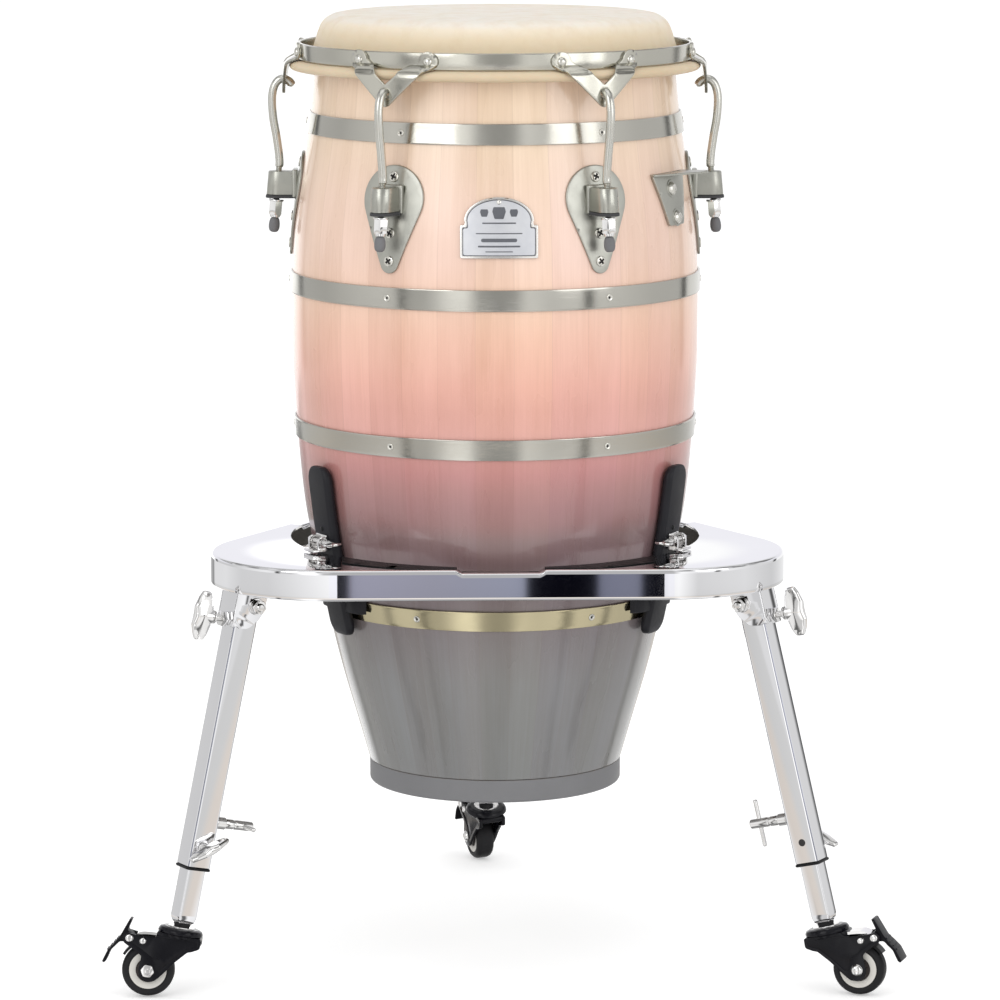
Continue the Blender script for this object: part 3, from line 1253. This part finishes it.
def build_fold_bolt(name, leg):
    """Wing bolt outward through the bracket's web, its wing standing along the leg."""
    tip = 12.85
    bolt = leg @ aim((tip, 0, FOLD_Z), (1, 0, 0), (0, 1, 0))
    collar = turned([(3.2, 0), (6.6, 0), (6.6, 2.0), (3.2, 2.0)], 0.6, 3, 36)
    parts = [(thread(20.5, 3.3), bolt), (bolt_hub(6.0, 15.0), bolt @ shift(0, 0, 18.6)),
             (collar, bolt @ shift(0, 0, 15.9)),
             (FOLD_BLADE, leg @ side_on(tip + 29.0, 0, FOLD_Z))]
    make('fold_wing_' + name, parts, 'fold_screw_' + name, [CHROME_SMALL], 'chrome',
         'fold_wing_bolt_' + name, sharp=40)


def build_lock_bolt(name, leg):
    """Wing bolt across the leg, on its +y side."""
    bolt = leg @ aim((0, BOLT_TIP, LOCK_Z), (0, 1, 0), (1, 0, 0))
    c, s = math.cos(math.radians(35)), math.sin(math.radians(35))
    blade = leg @ axes((0, 1, 0), (-c, 0, s), (s, 0, c), (0, TUBE_HALF + 12.6, LOCK_Z))
    parts = [(thread(8.0, 3.3), bolt),
             (bolt_hub(5.8, 12.0), bolt @ shift(0, 0, TUBE_HALF + 2.2 - BOLT_TIP)),
             (LOCK_BLADE, blade)]
    make('lock_wing_' + name, parts, 'lock_screw_' + name, [CHROME_SMALL], 'chrome',
         'lock_wing_bolt_' + name, sharp=40)


def build_tee_bolt(name, leg):
    """Bolt on the leg's inner face with a cross bar; the bar lies across the left leg."""
    face = TUBE_HALF - BOLT_TIP
    bolt = leg @ aim((-BOLT_TIP, 0, TEE_Z), (-1, 0, 0), (0, 0, 1))
    sleeve = turned([(0, 0), (6.9, 0), (6.9, 2.4), (6.4, 3.0), (6.4, 11.4), (5.2, 12.0),
                     (0, 12.0)], [0, 0.8, 0.3, 0.3, 0.9, 0.4, 0], 4, 40)
    head = turned([(0, 0), (5.1, 0), (5.1, 9.0), (4.5, 9.6), (4.5, 11.0), (5.0, 11.6),
                   (5.0, 31.0), (0, 31.4)], [0, 0.3, 0.4, 0.4, 0.4, 0.4, 1.2, 0], 4, 40)
    gasket = turned([(5.0, 0), (7.8, 0), (7.8, 1.6), (5.0, 1.6)], 0.5, 3, 36)
    centre = array((-TUBE_HALF - 34, 0, TEE_Z))
    reach = array((0, 1, 0) if name == 'left' else (0, 0, 1)) * 23.5
    # share of the reach, radius
    stations = [(-1, 1.0), (-0.99, 1.7), (-0.965, 2.15), (-0.93, 2.3),
                (0.93, 2.3), (0.965, 2.15), (0.99, 1.7), (1, 1.0)]
    bar = rod([centre + reach * share for share, _ in stations], [r for _, r in stations], 20)
    parts = [(thread(face + 4, 3.2), bolt), (gasket, bolt @ shift(0, 0, face - 0.4), BLACK_SATIN),
             (sleeve, bolt @ shift(0, 0, face + 0.9)), (head, bolt @ shift(0, 0, face + 12.6)),
             (bar, leg)]
    make('tee_screw_head_' + name, parts, 'tee_screw_' + name, [CHROME_SMALL, BLACK_SATIN],
         'chrome', 'tee_bolt_' + name, sharp=40)


# ------------------------------------------------------------------ legs

LEG_TOP, LEG_END = -9.0, 260.6            # outer tube, measured down the leg


def square_tube(width, radius, wall, top, end, chamfer=0.6, step=24.0):
    """Square tube down -z, measured from top to end, with rounded corners."""
    outer = round_rect(width, width, radius, 6)
    inner_w = width - 2 * wall
    inner = round_rect(inner_w, inner_w, max(radius - wall, 0.6), 6)
    edge_w = width - 2 * chamfer
    edge = round_rect(edge_w, edge_w, radius - chamfer * 0.5, 6)
    if end - top < 12:
        stations = [top + chamfer, end - chamfer]
    else:
        stations = [top + chamfer,
                    *np.linspace(top + 2, end - 9, max(3, int((end - top) / step))),
                    end - 7, end - 5, end - 3, end - chamfer]
    rows = ([(edge, top)] + [(outer, down) for down in stations]
            + [(edge, end), (inner, end), (inner, top)])
    count = len(outer)
    verts, faces = loft([np.column_stack([ring, np.full(count, -down)]) for ring, down in rows],
                        caps=False)
    last = (len(rows) - 1) * count
    for a in range(count):
        b = (a + 1) % count
        faces.append([last + a, last + b, b, a])
    return verts, faces


def split_corners(verts, faces):
    """The tube without the faces round its four corners, and those faces alone."""
    rest, corners = [], []
    for face in faces:
        p = verts[face]
        normal = np.cross(p[2] - p[0], p[3] - p[1])
        normal = np.abs(normal / max(np.linalg.norm(normal), 1e-9))
        rounded = min(normal[0], normal[1]) > 0.4 and np.abs(p[:, :2]).max() > 9.4
        (corners if rounded else rest).append(face)
    return (verts, rest), (verts, corners)


def build_leg_tube(name, leg):
    verts, faces = square_tube(TUBE_W, 2.6, 2.0, LEG_TOP, LEG_END)
    # the top corner is relieved so that it clears the bracket as it folds
    relief = (-verts[:, 2] < 14) & (verts[:, 0] > 3.2)
    limit = -np.clip((verts[relief, 0] - 3.2) * 1.5, -9, 14)
    verts[relief, 2] = np.minimum(verts[relief, 2], limit)
    tube, corners = split_corners(verts, faces)
    bush = turned([(3.8, 0), (7.6, 0), (7.2, 1.6), (3.8, 1.6)], 0.5, 3, 36)
    plug = lathe([(0, 0.5), (2.6, 0.4), (3.6, 0.1), (3.7, -0.3), (0, -0.3)], 28)
    parts = [(tube, leg), (corners, leg, CHROME_EDGE),
             (bush, leg @ aim((0.2 - TUBE_HALF, 0, TEE_Z), (-1, 0, 0), (0, 0, 1))),
             (bush, leg @ aim((0, TUBE_HALF - 0.2, LOCK_Z), (0, 1, 0), (1, 0, 0))),
             (plug, leg @ aim((0, -TUBE_HALF, LOCK_Z), (0, -1, 0), (1, 0, 0)), DARK)]
    make('leg_tube_' + name, parts, 'leg_' + name, [CHROME, DARK, CHROME_EDGE], 'chrome',
         'leg_outer_' + name, sharp=30)


def build_leg_collar(name, leg):
    """Black collar at the outer tube's end, and a block on its inner face near the top."""
    collar = square_tube(26.6, 3.2, 3.3, LEG_END + 0.2, LEG_END + 2.8, 0.7)
    block = box(-TUBE_HALF - 2.2, -TUBE_HALF + 0.2, -7.5, 7.5, -33, -19, 1.2, 4)
    make('leg_collar_' + name, [(collar, leg), (block, leg)], 'leg_' + name, [BLACK_SATIN],
         'caster_plastic')


def joint_pos(joint):
    return array(joint['pos_m']) * 1000 - AXIS


def build_leg_foot(name, leg):
    """Inner tube, its plug and the stem that carries the caster."""
    seat = joint_pos(JOINTS['caster_swivel_' + name])
    reach = -(np.linalg.inv(leg) @ np.append(seat, 1))[2]
    end = reach - 7.5
    tube, faces = square_tube(INNER_W, 1.9, 1.8, 150, end, 1.6, step=20)
    taper = np.clip((-tube[:, 2] - (end - 7)) / 7.0, 0, 1) ** 1.6
    tube[:, :2] *= (1 - 0.22 * taper)[:, None]
    plug = sheet([round_rect(INNER_W - 6.2, INNER_W - 6.2, 1.2, 4)], 2.0, bev=0.4)
    cap = sheet([round_rect(INNER_W - 6.0, INNER_W - 6.0, 2.4, 5)], 2.6, bev=0.9)
    stem = rod([(0, 0, -end + 4), (0, 0, -reach - 6)], 3.9, 24)
    parts = [((tube, faces), leg), (plug, leg @ shift(0, 0, -end + 0.4), BLACK_SATIN),
             (cap, leg @ shift(0, 0, -end - 2.4), BLACK_SATIN),
             (hex_nut(15.0, 4.0), leg @ shift(0, 0, -reach + 3.2), BLACK_SATIN),
             (stem, leg, BLACK_SATIN)]
    make('leg_foot_' + name, parts, 'foot_' + name, [CHROME, BLACK_SATIN], 'chrome',
         'leg_inner_' + name, sharp=30)


# ------------------------------------------------------------------ padded arms

# centre line of the pad: z, radius
ARM_POINTS = [(339, 174.2), (355, 177.9), (375, 182.2), (400, 186.2), (423, 189.9),
              (440, 192.7), (458, 195.6), (475, 197.9), (490, 199.9), (508, 201.8)]
arm_r = smooth_curve(ARM_POINTS)
PAD_LOW, PAD_HIGH = ARM_POINTS[0][0], ARM_POINTS[-1][0]
LOW_ROUND, HIGH_ROUND = 14, 16            # heights of the pad's rounded ends
PAD_WIDTH, PAD_THICK = 37.0, 11.0
SADDLE_R = shell_r(375) + BAND_GAP + BAND_THICK + 0.8
CLAMP = array((202.4, 0, 434.2))          # centre of the clamp bolt's line


def arm_pad():
    def rounded(q, tip, power):
        """Share of full size at q (0 at the root, 1 at the tip) of a rounded end."""
        return tip + (1 - tip) * math.sqrt(max(0, 1 - q ** power))
    quarter = PI / 2
    heights = np.concatenate([
        PAD_LOW + LOW_ROUND * (1 - np.cos(np.linspace(0, quarter, 9))),
        np.linspace(357, 488, 24),
        PAD_HIGH - HIGH_ROUND * (1 - np.sin(np.linspace(0, quarter, 10)))])
    rings = []
    for z in heights:
        wide = deep = 1.0
        if z < PAD_LOW + LOW_ROUND:
            q = (PAD_LOW + LOW_ROUND - z) / LOW_ROUND
            wide, deep = rounded(q, 0.40, 2.4), rounded(q, 0.55, 2)
        if z > PAD_HIGH - HIGH_ROUND:
            q = (z - PAD_HIGH + HIGH_ROUND) / HIGH_ROUND
            wide, deep = rounded(q, 0.34, 2.6), rounded(q, 0.5, 2)
        thick = PAD_THICK * deep
        ring = round_rect(thick, PAD_WIDTH * wide, min(4.6, 0.46 * thick), 5)
        # outer face slightly crowned
        ring[:, 0] += np.where(ring[:, 0] > 0, -0.018 * (ring[:, 1] ** 2) / 6, 0)
        rings.append(np.column_stack([ring[:, 0] + arm_r(z), ring[:, 1], np.full(len(ring), z)]))
    return loft(rings)


def arm_saddle():
    """Curved block behind the pad, against the lower band."""
    rings = []
    for z, inset in ((364, 1.6), (364.4, 0.7), (365.6, 0), (374, 0), (382.6, 0), (383.7, 0.7),
                     (384, 1.6)):
        polar = [(SADDLE_R, a) for a in np.linspace(-12.8, 12.8, 17)]
        polar += [(SADDLE_R + 8.0 - inset - 3.5 * max(0, abs(a) - 9) / 3.2, a)
                  for a in np.linspace(12.2, -12.2, 17)]
        rings.append([(r * math.cos(math.radians(a)), r * math.sin(math.radians(a)), z)
                      for r, a in polar])
    return loft(rings)


def build_arm(name, az):
    """Pad, saddle and the small riveted bracket with two ears."""
    ear = sheet([resample(fillet([(198.5, 426), (208.5, 426), (208.8, 434), (206, 439.5),
                                  (198.5, 439.5)], [0, 1, 3, 3, 0], 5), 1.5),
                 circle(3.2, 20, (CLAMP[0], CLAMP[2]))], 2.2, bev=0.4)
    rivet = lathe([(0, 1.0), (1.6, 0.8), (2.6, 0.2), (2.8, 0), (0, 0)], 20)
    place = rot_z(az)
    parts = [(arm_pad(), place), (arm_saddle(), place),
             (box(196, 214, -9.5, 9.5, 424.5, 427.2, 0.7, 3), place, CHROME_SMALL),
             (box(197.5, 200.2, -9.5, 9.5, 425, 441, 0.8, 3), place, CHROME_SMALL),
             (ear, place @ side_on(y=-7.7), CHROME_SMALL),
             (ear, place @ side_on(y=9.9), CHROME_SMALL),
             (rivet, place @ outward(arm_r(446) + 5.2, 446), BLACK_SATIN)]
    make('arm_pad_' + name, parts, 'arm_' + name, [ARM_RUBBER, CHROME_SMALL, BLACK_SATIN],
         'arm_rubber', 'support_arm_' + name, sharp=40)


def build_arm_clamp(name, az, side):
    """Bolt across the arm with a small wing at one end."""
    bolt = rot_z(az) @ aim(CLAMP + (0, -14.0 * side, 0), (0, side, 0), (0, 0, 1))
    blade = rot_z(az) @ axes((0, side, 0), (1, 0, 0), (0, 0, -side), CLAMP + (0, 27.0 * side, 0))
    parts = [(thread(40, 2.5), bolt), (hex_nut(7.4, 3.6), bolt @ shift(0, 0, -0.8)),
             (bolt_hub(3.5, 8.5), bolt @ shift(0, 0, 34)), (CLAMP_BLADE, blade)]
    make('arm_clamp_' + name, parts, 'arm_screw_' + name, [CHROME_SMALL], 'chrome',
         'arm_clamp_bolt_' + name, sharp=40)


# ------------------------------------------------------------------ casters

# caster place: origin at the swivel seat, x towards the trailing side, z up
TRAIL, DROP = 24.0, 42.8                  # the wheel's axle
PEDAL_X, PEDAL_Z = 47.5, -14.6            # the brake lever's pivot
FORK_IN, FORK_THICK = 11.2, 2.8           # inner face of the fork's cheeks

CHEEK = fillet(
    [(-21.5, -3.4), (-22, -12.9), (-15, -16.7), (-10.5, -18.4), (0, -30.4), (6.5, -39.8),
     (12.3, -47.5), (16, -51.5), (24, -54), (31, -51), (33, -44), (32.6, -30), (36.7, -26.8),
     (45.6, -22.8), (52, -19.8), (54, -14), (50.5, -9.4), (40, -10.4), (24, -9.4), (18, -6.6),
     (16, -3.4)],
    [1.5, 4, 3, 4, 8, 8, 5, 5, 7, 6, 5, 3, 3, 3, 4, 4, 3, 4, 3, 3, 1], 5)
# inside edge of the raised rim on each cheek
CHEEK_PANEL = fillet(
    [(-18.5, -6.4), (-18.8, -11.4), (-9.0, -15.4), (2.6, -28.2), (14.6, -44), (21, -30),
     (33.4, -23.6), (48.6, -16.8), (47, -11), (20, -9)], 2.5, 4)
# centre line of the spring leaf over the wheel: x, y, z
LEAF_POINTS = [(20.5, 0, -6.0), (24, 0, -6.0), (30, 0, -6.5), (36, 0, -7.6), (40, 0, -10.0),
               (42.6, 0, -14.5), (43.4, 0, -20)]
LEVER = fillet(
    [(47.8, 3.4), (50.5, 3.0), (53.8, -6.3), (56.9, -15.3), (62.4, -24.6), (66.0, -30.0),
     (69.3, -41.7), (67.7, -43.5), (65.6, -41.0), (63, -29.9), (56, -20.0), (50.5, -19.3),
     (46, -19.6), (42.8, -16.6), (43.0, -12.0), (46.8, -9.6), (50.6, -8.2)],
    [0.6, 0.8, 6, 8, 8, 6, 1.0, 1.0, 3, 6, 4, 3, 3, 2, 3, 2, 2], 5)


def caster_place(name):
    swivel, spin = JOINTS['caster_swivel_' + name], JOINTS['wheel_spin_' + name]
    seat, up = joint_pos(swivel), unit(swivel['axis'])
    trail = unit(np.cross(unit(spin['axis']), -up))
    if np.dot(joint_pos(spin) - seat, trail) <= 0:
        trail = -trail
    return axes(trail, np.cross(up, trail), up, seat)


def spring_leaf():
    return loft([[(x, -10.6, z - 1.6), (x, 10.6, z - 1.6), (x + 0.5, 10.6, z + 1.0),
                  (x + 0.5, -10.6, z + 1.0)] for x, _, z in spline(LEAF_POINTS, 6)])


def brake_shoe():
    rings = []
    for angle in np.linspace(52, 22, 12):
        c, s = math.cos(math.radians(angle)), math.sin(math.radians(angle))
        rings.append([(TRAIL + r * c, y, -DROP + r * s)
                      for r, y in ((26.6, -7.5), (26.6, 7.5), (29.2, 7.5), (29.2, -7.5))])
    return loft(rings)


def button(radius):
    return domed([(0, 2.2), (radius * 0.5, 2.1), (radius * 0.85, 1.5), (radius, 0.5),
                  (radius, 0.0), (0, 0)], 4, 28)


def build_fork(name, nut_side, caster):
    plate = turned([(4.8, 3.3), (17.0, 3.3), (20.6, 2.0), (21.9, -0.6), (21.9, -2.6),
                    (20.4, -3.3), (4.8, -3.3)], [0.4, 2, 2, 1.4, 0.8, 0.8, 0.4], 4, 72)
    race = turned([(5.0, -3.2), (18.6, -3.2), (17.4, -6.6), (5.0, -6.6)], [0, 0.8, 0.8, 0], 3, 64)
    washer = turned([(4.6, 3.2), (13.2, 3.2), (13.2, 3.9), (12.4, 4.3), (4.6, 4.3)], 0.2, 3, 48)
    cheek = sheet([resample(CHEEK, 2.2)], FORK_THICK, bev=0.9)
    rim = sheet([resample(CHEEK, 2.2), resample(CHEEK_PANEL, 2.2)], 0.9, bev=0.35, low_bev=0)
    axle_end = lathe([(0, 4.6), (2.0, 4.4), (2.7, 3.8), (2.8, 3.0), (0, 3.0)], 24)
    axle_cap = domed([(0, 3.6), (2.2, 3.4), (4.2, 2.6), (5.4, 1.0), (5.6, 0.0), (0, 0)], 4, 32)
    parts = [(plate, caster), (race, caster), (washer, caster, CHROME_SMALL)]
    for side, cheek_y in ((1, FORK_IN + FORK_THICK), (-1, -FORK_IN)):
        parts += [(cheek, caster @ side_on(y=cheek_y)),
                  (rim, caster @ side_on(y=side * (FORK_IN + 2.6), facing=side))]
    parts.append((box(-21.3, 22, -12.5, 12.5, -9.0, -3.0, 2.0, 4), caster))
    for side in (1, -1):
        def on_cheek(x, lift, z):
            y = (FORK_IN + lift) * side
            return caster @ aim((x, y, z), (0, side, 0), (1, 0, 0))
        # the axle has a hexagon at both ends on the left caster, and one cap on the others
        hexagon = side * nut_side < 0 or name == 'left'
        ends = [hex_nut(11.6, 3.2), axle_end] if hexagon else [axle_cap]
        parts += [(end, on_cheek(TRAIL, 3.4, -DROP), CHROME_SMALL) for end in ends]
        for x, z, radius in ((PEDAL_X, PEDAL_Z - 0.2, 3.9), (33.9, -15.1, 3.3)):
            parts.append((button(radius), on_cheek(x, 2.7, z), CHROME_SMALL))
    axle_y, pivot_y = FORK_IN + 3, FORK_IN + 2
    axle = rod([(TRAIL, -axle_y, -DROP), (TRAIL, axle_y, -DROP)], 3.1, 24)
    pivot = rod([(PEDAL_X, -pivot_y, PEDAL_Z), (PEDAL_X, pivot_y, PEDAL_Z)], 2.2, 20)
    parts += [(axle, caster, CHROME_SMALL), (pivot, caster, CHROME_SMALL),
              (spring_leaf(), caster, CHROME_SMALL), (brake_shoe(), caster, BLACK_SATIN)]
    make('caster_fork_body_' + name, parts, 'caster_' + name, [BLACK, CHROME_SMALL, BLACK_SATIN],
         'caster_plastic', 'caster_fork_' + name)


def build_wheel(name, caster):
    """Rounded tyre, cream ring and dark hub with six spokes on each side."""
    half = 10.0

    def symmetric(profile, radii, steps, segments):
        """Turned from the lower half of a profile (r, height above the lower side)."""
        lower = [(r, h - half) for r, h in profile]
        return turned(lower + [(r, -z) for r, z in lower[::-1]], radii + radii[::-1],
                      steps, segments)
    tyre = symmetric([(18.2, 1.2), (20.0, 0.2), (22.6, 0.4), (24.8, 2.6), (25.6, 5.5)],
                     [0.4, 1.2, 1.6, 2.4, 5], 5, 96)
    ring = symmetric([(11.8, 1.7), (18.6, 1.1)], [0.5, 0.6], 4, 80)
    hub = symmetric([(3.6, 0.4), (7.4, 0.4), (8.4, 2.2), (12.2, 2.4)], [0.4, 0.8, 1.0, 0.4], 4, 64)
    spoke = box(7.6, 12.0, -0.7, 0.7, half - 2.6, half - 1.7, 0.3, 2)
    place = caster @ side_on(TRAIL, 0, -DROP)
    parts = [(tyre, place), (ring, place, CREAM), (hub, place, HUB)]
    for k in range(6):
        for side in (1, -1):
            parts.append((spoke, place @ rot_z(60 * k) @ np.diag([1, 1, side, 1.0]), HUB))
    make('wheel_body_' + name, parts, 'wheel_' + name, [TYRE, CREAM, HUB], 'tyre_rubber',
         'wheel_' + name, sharp=40)


def build_brake(name, caster):
    """Brake lever, widening towards its lower end, with four ribs across it."""
    half = FORK_IN - 0.8

    def flare(x, y, z):
        low = np.clip((-16 - y) / 9.0, 0, 1)
        low = low * low * (3 - 2 * low)
        return x, y, (z - half) * (1 + 0.30 * low) + half
    lever = sheet([resample(LEVER, 2.0)], 2 * half, flare, bev=0.9)
    parts = [(lever, caster @ side_on(y=half))]
    for z in (-18, -22, -26, -30):
        x = np.interp(-z, [15.3, 24.6, 30.0], [56.9, 62.4, 66.0]) + 0.2
        parts.append((rod([(x, -FORK_IN + 2.5, z), (x, FORK_IN - 2.5, z)], 0.75, 8), caster))
    make('brake_lever_' + name, parts, 'brake_' + name, [PEDAL_BLACK], 'caster_plastic',
         'brake_pedal_' + name)


# ------------------------------------------------------------------ studio

def build_camera():
    SCENE.view_settings.view_transform = 'Standard'
    SCENE.view_settings.look = 'None'
    SCENE.view_settings.exposure = 0.0
    SCENE.view_settings.gamma = 1.0
    data = bpy.data.cameras.new('camera')
    camera = bpy.data.objects.new('camera', data)
    bpy.context.collection.objects.link(camera)
    SCENE.camera = camera
    data.sensor_width = 36.0
    data.lens = 172.8
    data.clip_start = 0.1
    data.clip_end = 100.0
    camera.location = ((5.0 + AXIS[0]) / 1000, (-4740.9 + AXIS[1]) / 1000, 1.2089)
    camera.rotation_euler = (math.radians(81), 0, 0)


# The room as polished parts see it. Ramps hold brightness divided by PEAK. Azimuth is in
# degrees, 0 towards the camera and positive to its right.
PEAK = 2.0
# bright screens with dark gaps between them: azimuth, brightness
SCREENS = [
    (-180, 1.5), (-150, 1.55), (-144, .9), (-141, .14), (-138, .16), (-135, .74), (-108, .72),
    (-88, .9), (-64, 1.05), (-56, .95), (-54, .14), (-51.5, .14), (-49.5, .74), (-40, .72),
    (-33, 1.0), (-25, 1.5), (-16, 1.5), (-9, .66), (0, .54), (11, .6), (18, 1.2), (32, 1.0),
    (49, 1.15), (52, .16), (55, .16), (58, 1.1), (74, 1.0), (96, .85), (127, .8), (130, .12),
    (134, .12), (137, 1.1)]
# band just below the horizon: azimuth, brightness
LOW_BAND = [
    (-180, .9), (-152, .30), (-147, .86), (-120, .92), (-95, .78), (-62, .80), (-40, .92),
    (-20, 1.05), (-6, 1.15), (0, 1.2), (8, 1.1), (16, 1.2), (34, .82), (58, .86), (84, .9),
    (112, .78), (126, .74), (150, .9), (168, .95), (180, .9)]
# narrow stripes beside the camera: azimuth, RGB
NEAR_SPAN = 7
NEAR_STRIPES = [
    (0, (1.15, 1.15, 1.2)), (1.08, (1.12, 1.12, 1.2)), (1.11, (.004, .004, .008)),
    (1.36, (.004, .004, .008)), (1.39, (.40, .40, .50)), (2.4, (.37, .37, .45)),
    (3.50, (.36, .38, .48)), (3.53, (.003, .003, .006)), (4.38, (.003, .003, .006)),
    (4.41, (.22, .23, .31)), (4.90, (.24, .25, .33)), (4.93, (.003, .003, .006)),
    (5.32, (.006, .006, .01)), (5.36, (1.0, 1.0, 1.05)), (7, (1.1, 1.1, 1.15))]
# ceiling from the horizon up and floor from straight down: position, brightness
CEILING = [(0.0, .80), (.10, .92), (.2, .95), (.35, .80), (.6, .95), (1.0, 1.05)]
UNDER = [(0.0, .40), (.5, .46), (.85, .52), (1.0, .6)]
# patches of light and shade: noise value, factor
PATCHES = [(0.0, .10), (.43, .12), (.47, .85), (.56, 1.0), (.60, .45), (.70, .40), (.76, 1.0),
           (1.0, 1.0)]


def build_world():
    world = bpy.data.worlds.new('studio')
    SCENE.world = world
    world.use_nodes = True
    g = Graph(world.node_tree)
    g.tree.nodes.clear()
    direction = g.node('ShaderNodeTexCoord').outputs['Generated']
    x, y, z = g.node('ShaderNodeSeparateXYZ', i0=direction).outputs
    azimuth = g.times(g.math('ARCTAN2', x, g.times(y, -1.0)), 180 / PI)
    height = g.times(g.math('ARCSINE', z), 180 / PI)

    def around(stops):
        return g.ramp(turn, [((a + 180) / 360.0, grey(v / PEAK)) for a, v in stops])

    def levels(factor, stops):
        return g.ramp(factor, [(p, grey(v / PEAK)) for p, v in stops])

    def tint(colour, where, by):
        return g.mix(where, colour, g.mix(1.0, colour, by, 'MULTIPLY'))
    turn = g.remap(azimuth, (-180, 180))
    screens = around(SCREENS)
    low = around(LOW_BAND)
    near = g.ramp(g.remap(azimuth, (0, NEAR_SPAN)),
                  [(a / NEAR_SPAN, (*[v / PEAK for v in rgb], 1)) for a, rgb in NEAR_STRIPES])
    by_camera = g.times(g.math('GREATER_THAN', azimuth, -4.0),
                        g.math('LESS_THAN', azimuth, 12.0))
    stripe_rows = g.times(g.remap(height, (-12.5, -12.0)), g.remap(height, (-8.6, -9.0)))
    low = g.mix(g.times(by_camera, stripe_rows), low, near)
    is_low = g.times(g.remap(height, (-8.7, -9.1)), g.remap(height, (-15.5, -14.0)))
    middle = g.mix(is_low, screens, low)
    back = g.times(g.remap(height, (6.0, 8.5), smooth=True),
                   g.remap(g.math('ABSOLUTE', azimuth), (105.0, 125.0), smooth=True))
    middle = g.mix(back, middle, (.975 / PEAK, .97 / PEAK, 1.02 / PEAK, 1))
    noise = g.out('ShaderNodeTexNoise', Vector=direction, Scale=2.6, Detail=1.0)
    patch = g.ramp(noise, [(p, grey(v)) for p, v in PATCHES])
    above = g.mix(.8, levels(g.remap(height, (0, 90)), CEILING), patch, 'MULTIPLY')
    below = g.mix(.8, levels(g.remap(height, (-90, -20)), UNDER), patch, 'MULTIPLY')
    # the low band is slightly darker, and warmer towards its bottom
    darker = g.times(is_low, g.remap(height, (-9.9, -10.5), smooth=True))
    middle = tint(middle, darker, (.88, .88, .87, 1))
    warmer = g.times(is_low, g.remap(height, (-11.8, -13.2), smooth=True))
    middle = tint(middle, warmer, (1.12, 1.03, .95, 1))
    room = g.mix(g.remap(height, (17.0, 26.0), smooth=True), middle, above)
    room = g.mix(g.remap(height, (-44.0, -60.0), smooth=True), room, below)
    room = g.mix(1.0, room, (PEAK, PEAK, PEAK, 1), 'MULTIPLY')
    # only reflections see the room; other light is even, and the backdrop is white
    ray = g.node('ShaderNodeLightPath').outputs
    seen = g.mix(ray['Is Glossy Ray'], (0.79, 0.79, 0.79, 1), room)
    seen = g.mix(ray['Is Camera Ray'], seen, (1.0, 1.0, 1.0, 1))
    background = g.out('ShaderNodeBackground', Color=seen, Strength=1.0)
    g.node('ShaderNodeOutputWorld', i0=background)


def area_light(name, location, target, size, size_y, power):
    """Lengths in metres, power in watts."""
    data = bpy.data.lights.new(name, 'AREA')
    data.energy = power
    data.shape = 'RECTANGLE'
    data.size = size
    data.size_y = size_y
    light = bpy.data.objects.new(name, data)
    bpy.context.collection.objects.link(light)
    light.location = location
    aim_at = Vector(target) - Vector(location)
    light.rotation_euler = aim_at.to_track_quat('-Z', 'Y').to_euler()


def build_lights():
    area_light('key', location=(-1.9, -2.6, 2.2), target=(0, 0, 0.5),
               size=1.6, size_y=2.2, power=22)
    area_light('fill', location=(2.4, -2.2, 1.6), target=(0, 0, 0.5),
               size=1.8, size_y=2.2, power=17)
    area_light('top', location=(0.1, -0.3, 3.2), target=(0, -0.1, 0.5),
               size=2.2, size_y=2.2, power=8)


def build_floor():
    half = 30.0
    mesh = bpy.data.meshes.new('floor')
    mesh.from_pydata([(-half, -half, 0), (half, -half, 0), (half, half, 0), (-half, half, 0)],
                     [], [(0, 1, 2, 3)])
    floor = bpy.data.objects.new('floor', mesh)
    bpy.context.collection.objects.link(floor)
    floor.location.z = -0.0006
    material = bpy.data.materials.new('floor_pale')
    material.use_nodes = True
    g = Graph(material.node_tree)
    # camera rays see the floor a little brighter, as an evenly lit white ground
    ray = g.node('ShaderNodeLightPath').outputs
    g.fill(g.tree.nodes['Principled BSDF'], Base_Color=(0.93, 0.93, 0.93, 1), Roughness=0.9,
           Specular_IOR_Level=0.1, Emission_Color=(1, 1, 1, 1),
           Emission_Strength=g.times(ray['Is Camera Ray'], 0.36))
    mesh.materials.append(material)
    floor.visible_glossy = False


# ------------------------------------------------------------------ build

build_shell()
build_foot_ring()
build_head()
for band in BANDS:
    build_band(*band)
build_counterhoop()
build_hooks()
build_lugs()
build_nuts()
build_badge()
build_side_bracket()
build_stand_ring()
for name, _, _, leg in LEGS:
    build_fold_bolt(name, leg)
    build_lock_bolt(name, leg)
    build_tee_bolt(name, leg)
for name, _, _, leg in LEGS:
    build_leg_tube(name, leg)
    build_leg_collar(name, leg)
    build_leg_foot(name, leg)
for name, az, nut_side, _ in LEGS:
    build_arm(name, az)
    build_arm_clamp(name, az, nut_side)
for name, _, nut_side, _ in LEGS:
    caster = caster_place(name)
    build_fork(name, nut_side, caster)
    build_wheel(name, caster)
    build_brake(name, caster)
build_camera()
build_world()
build_lights()
build_floor()
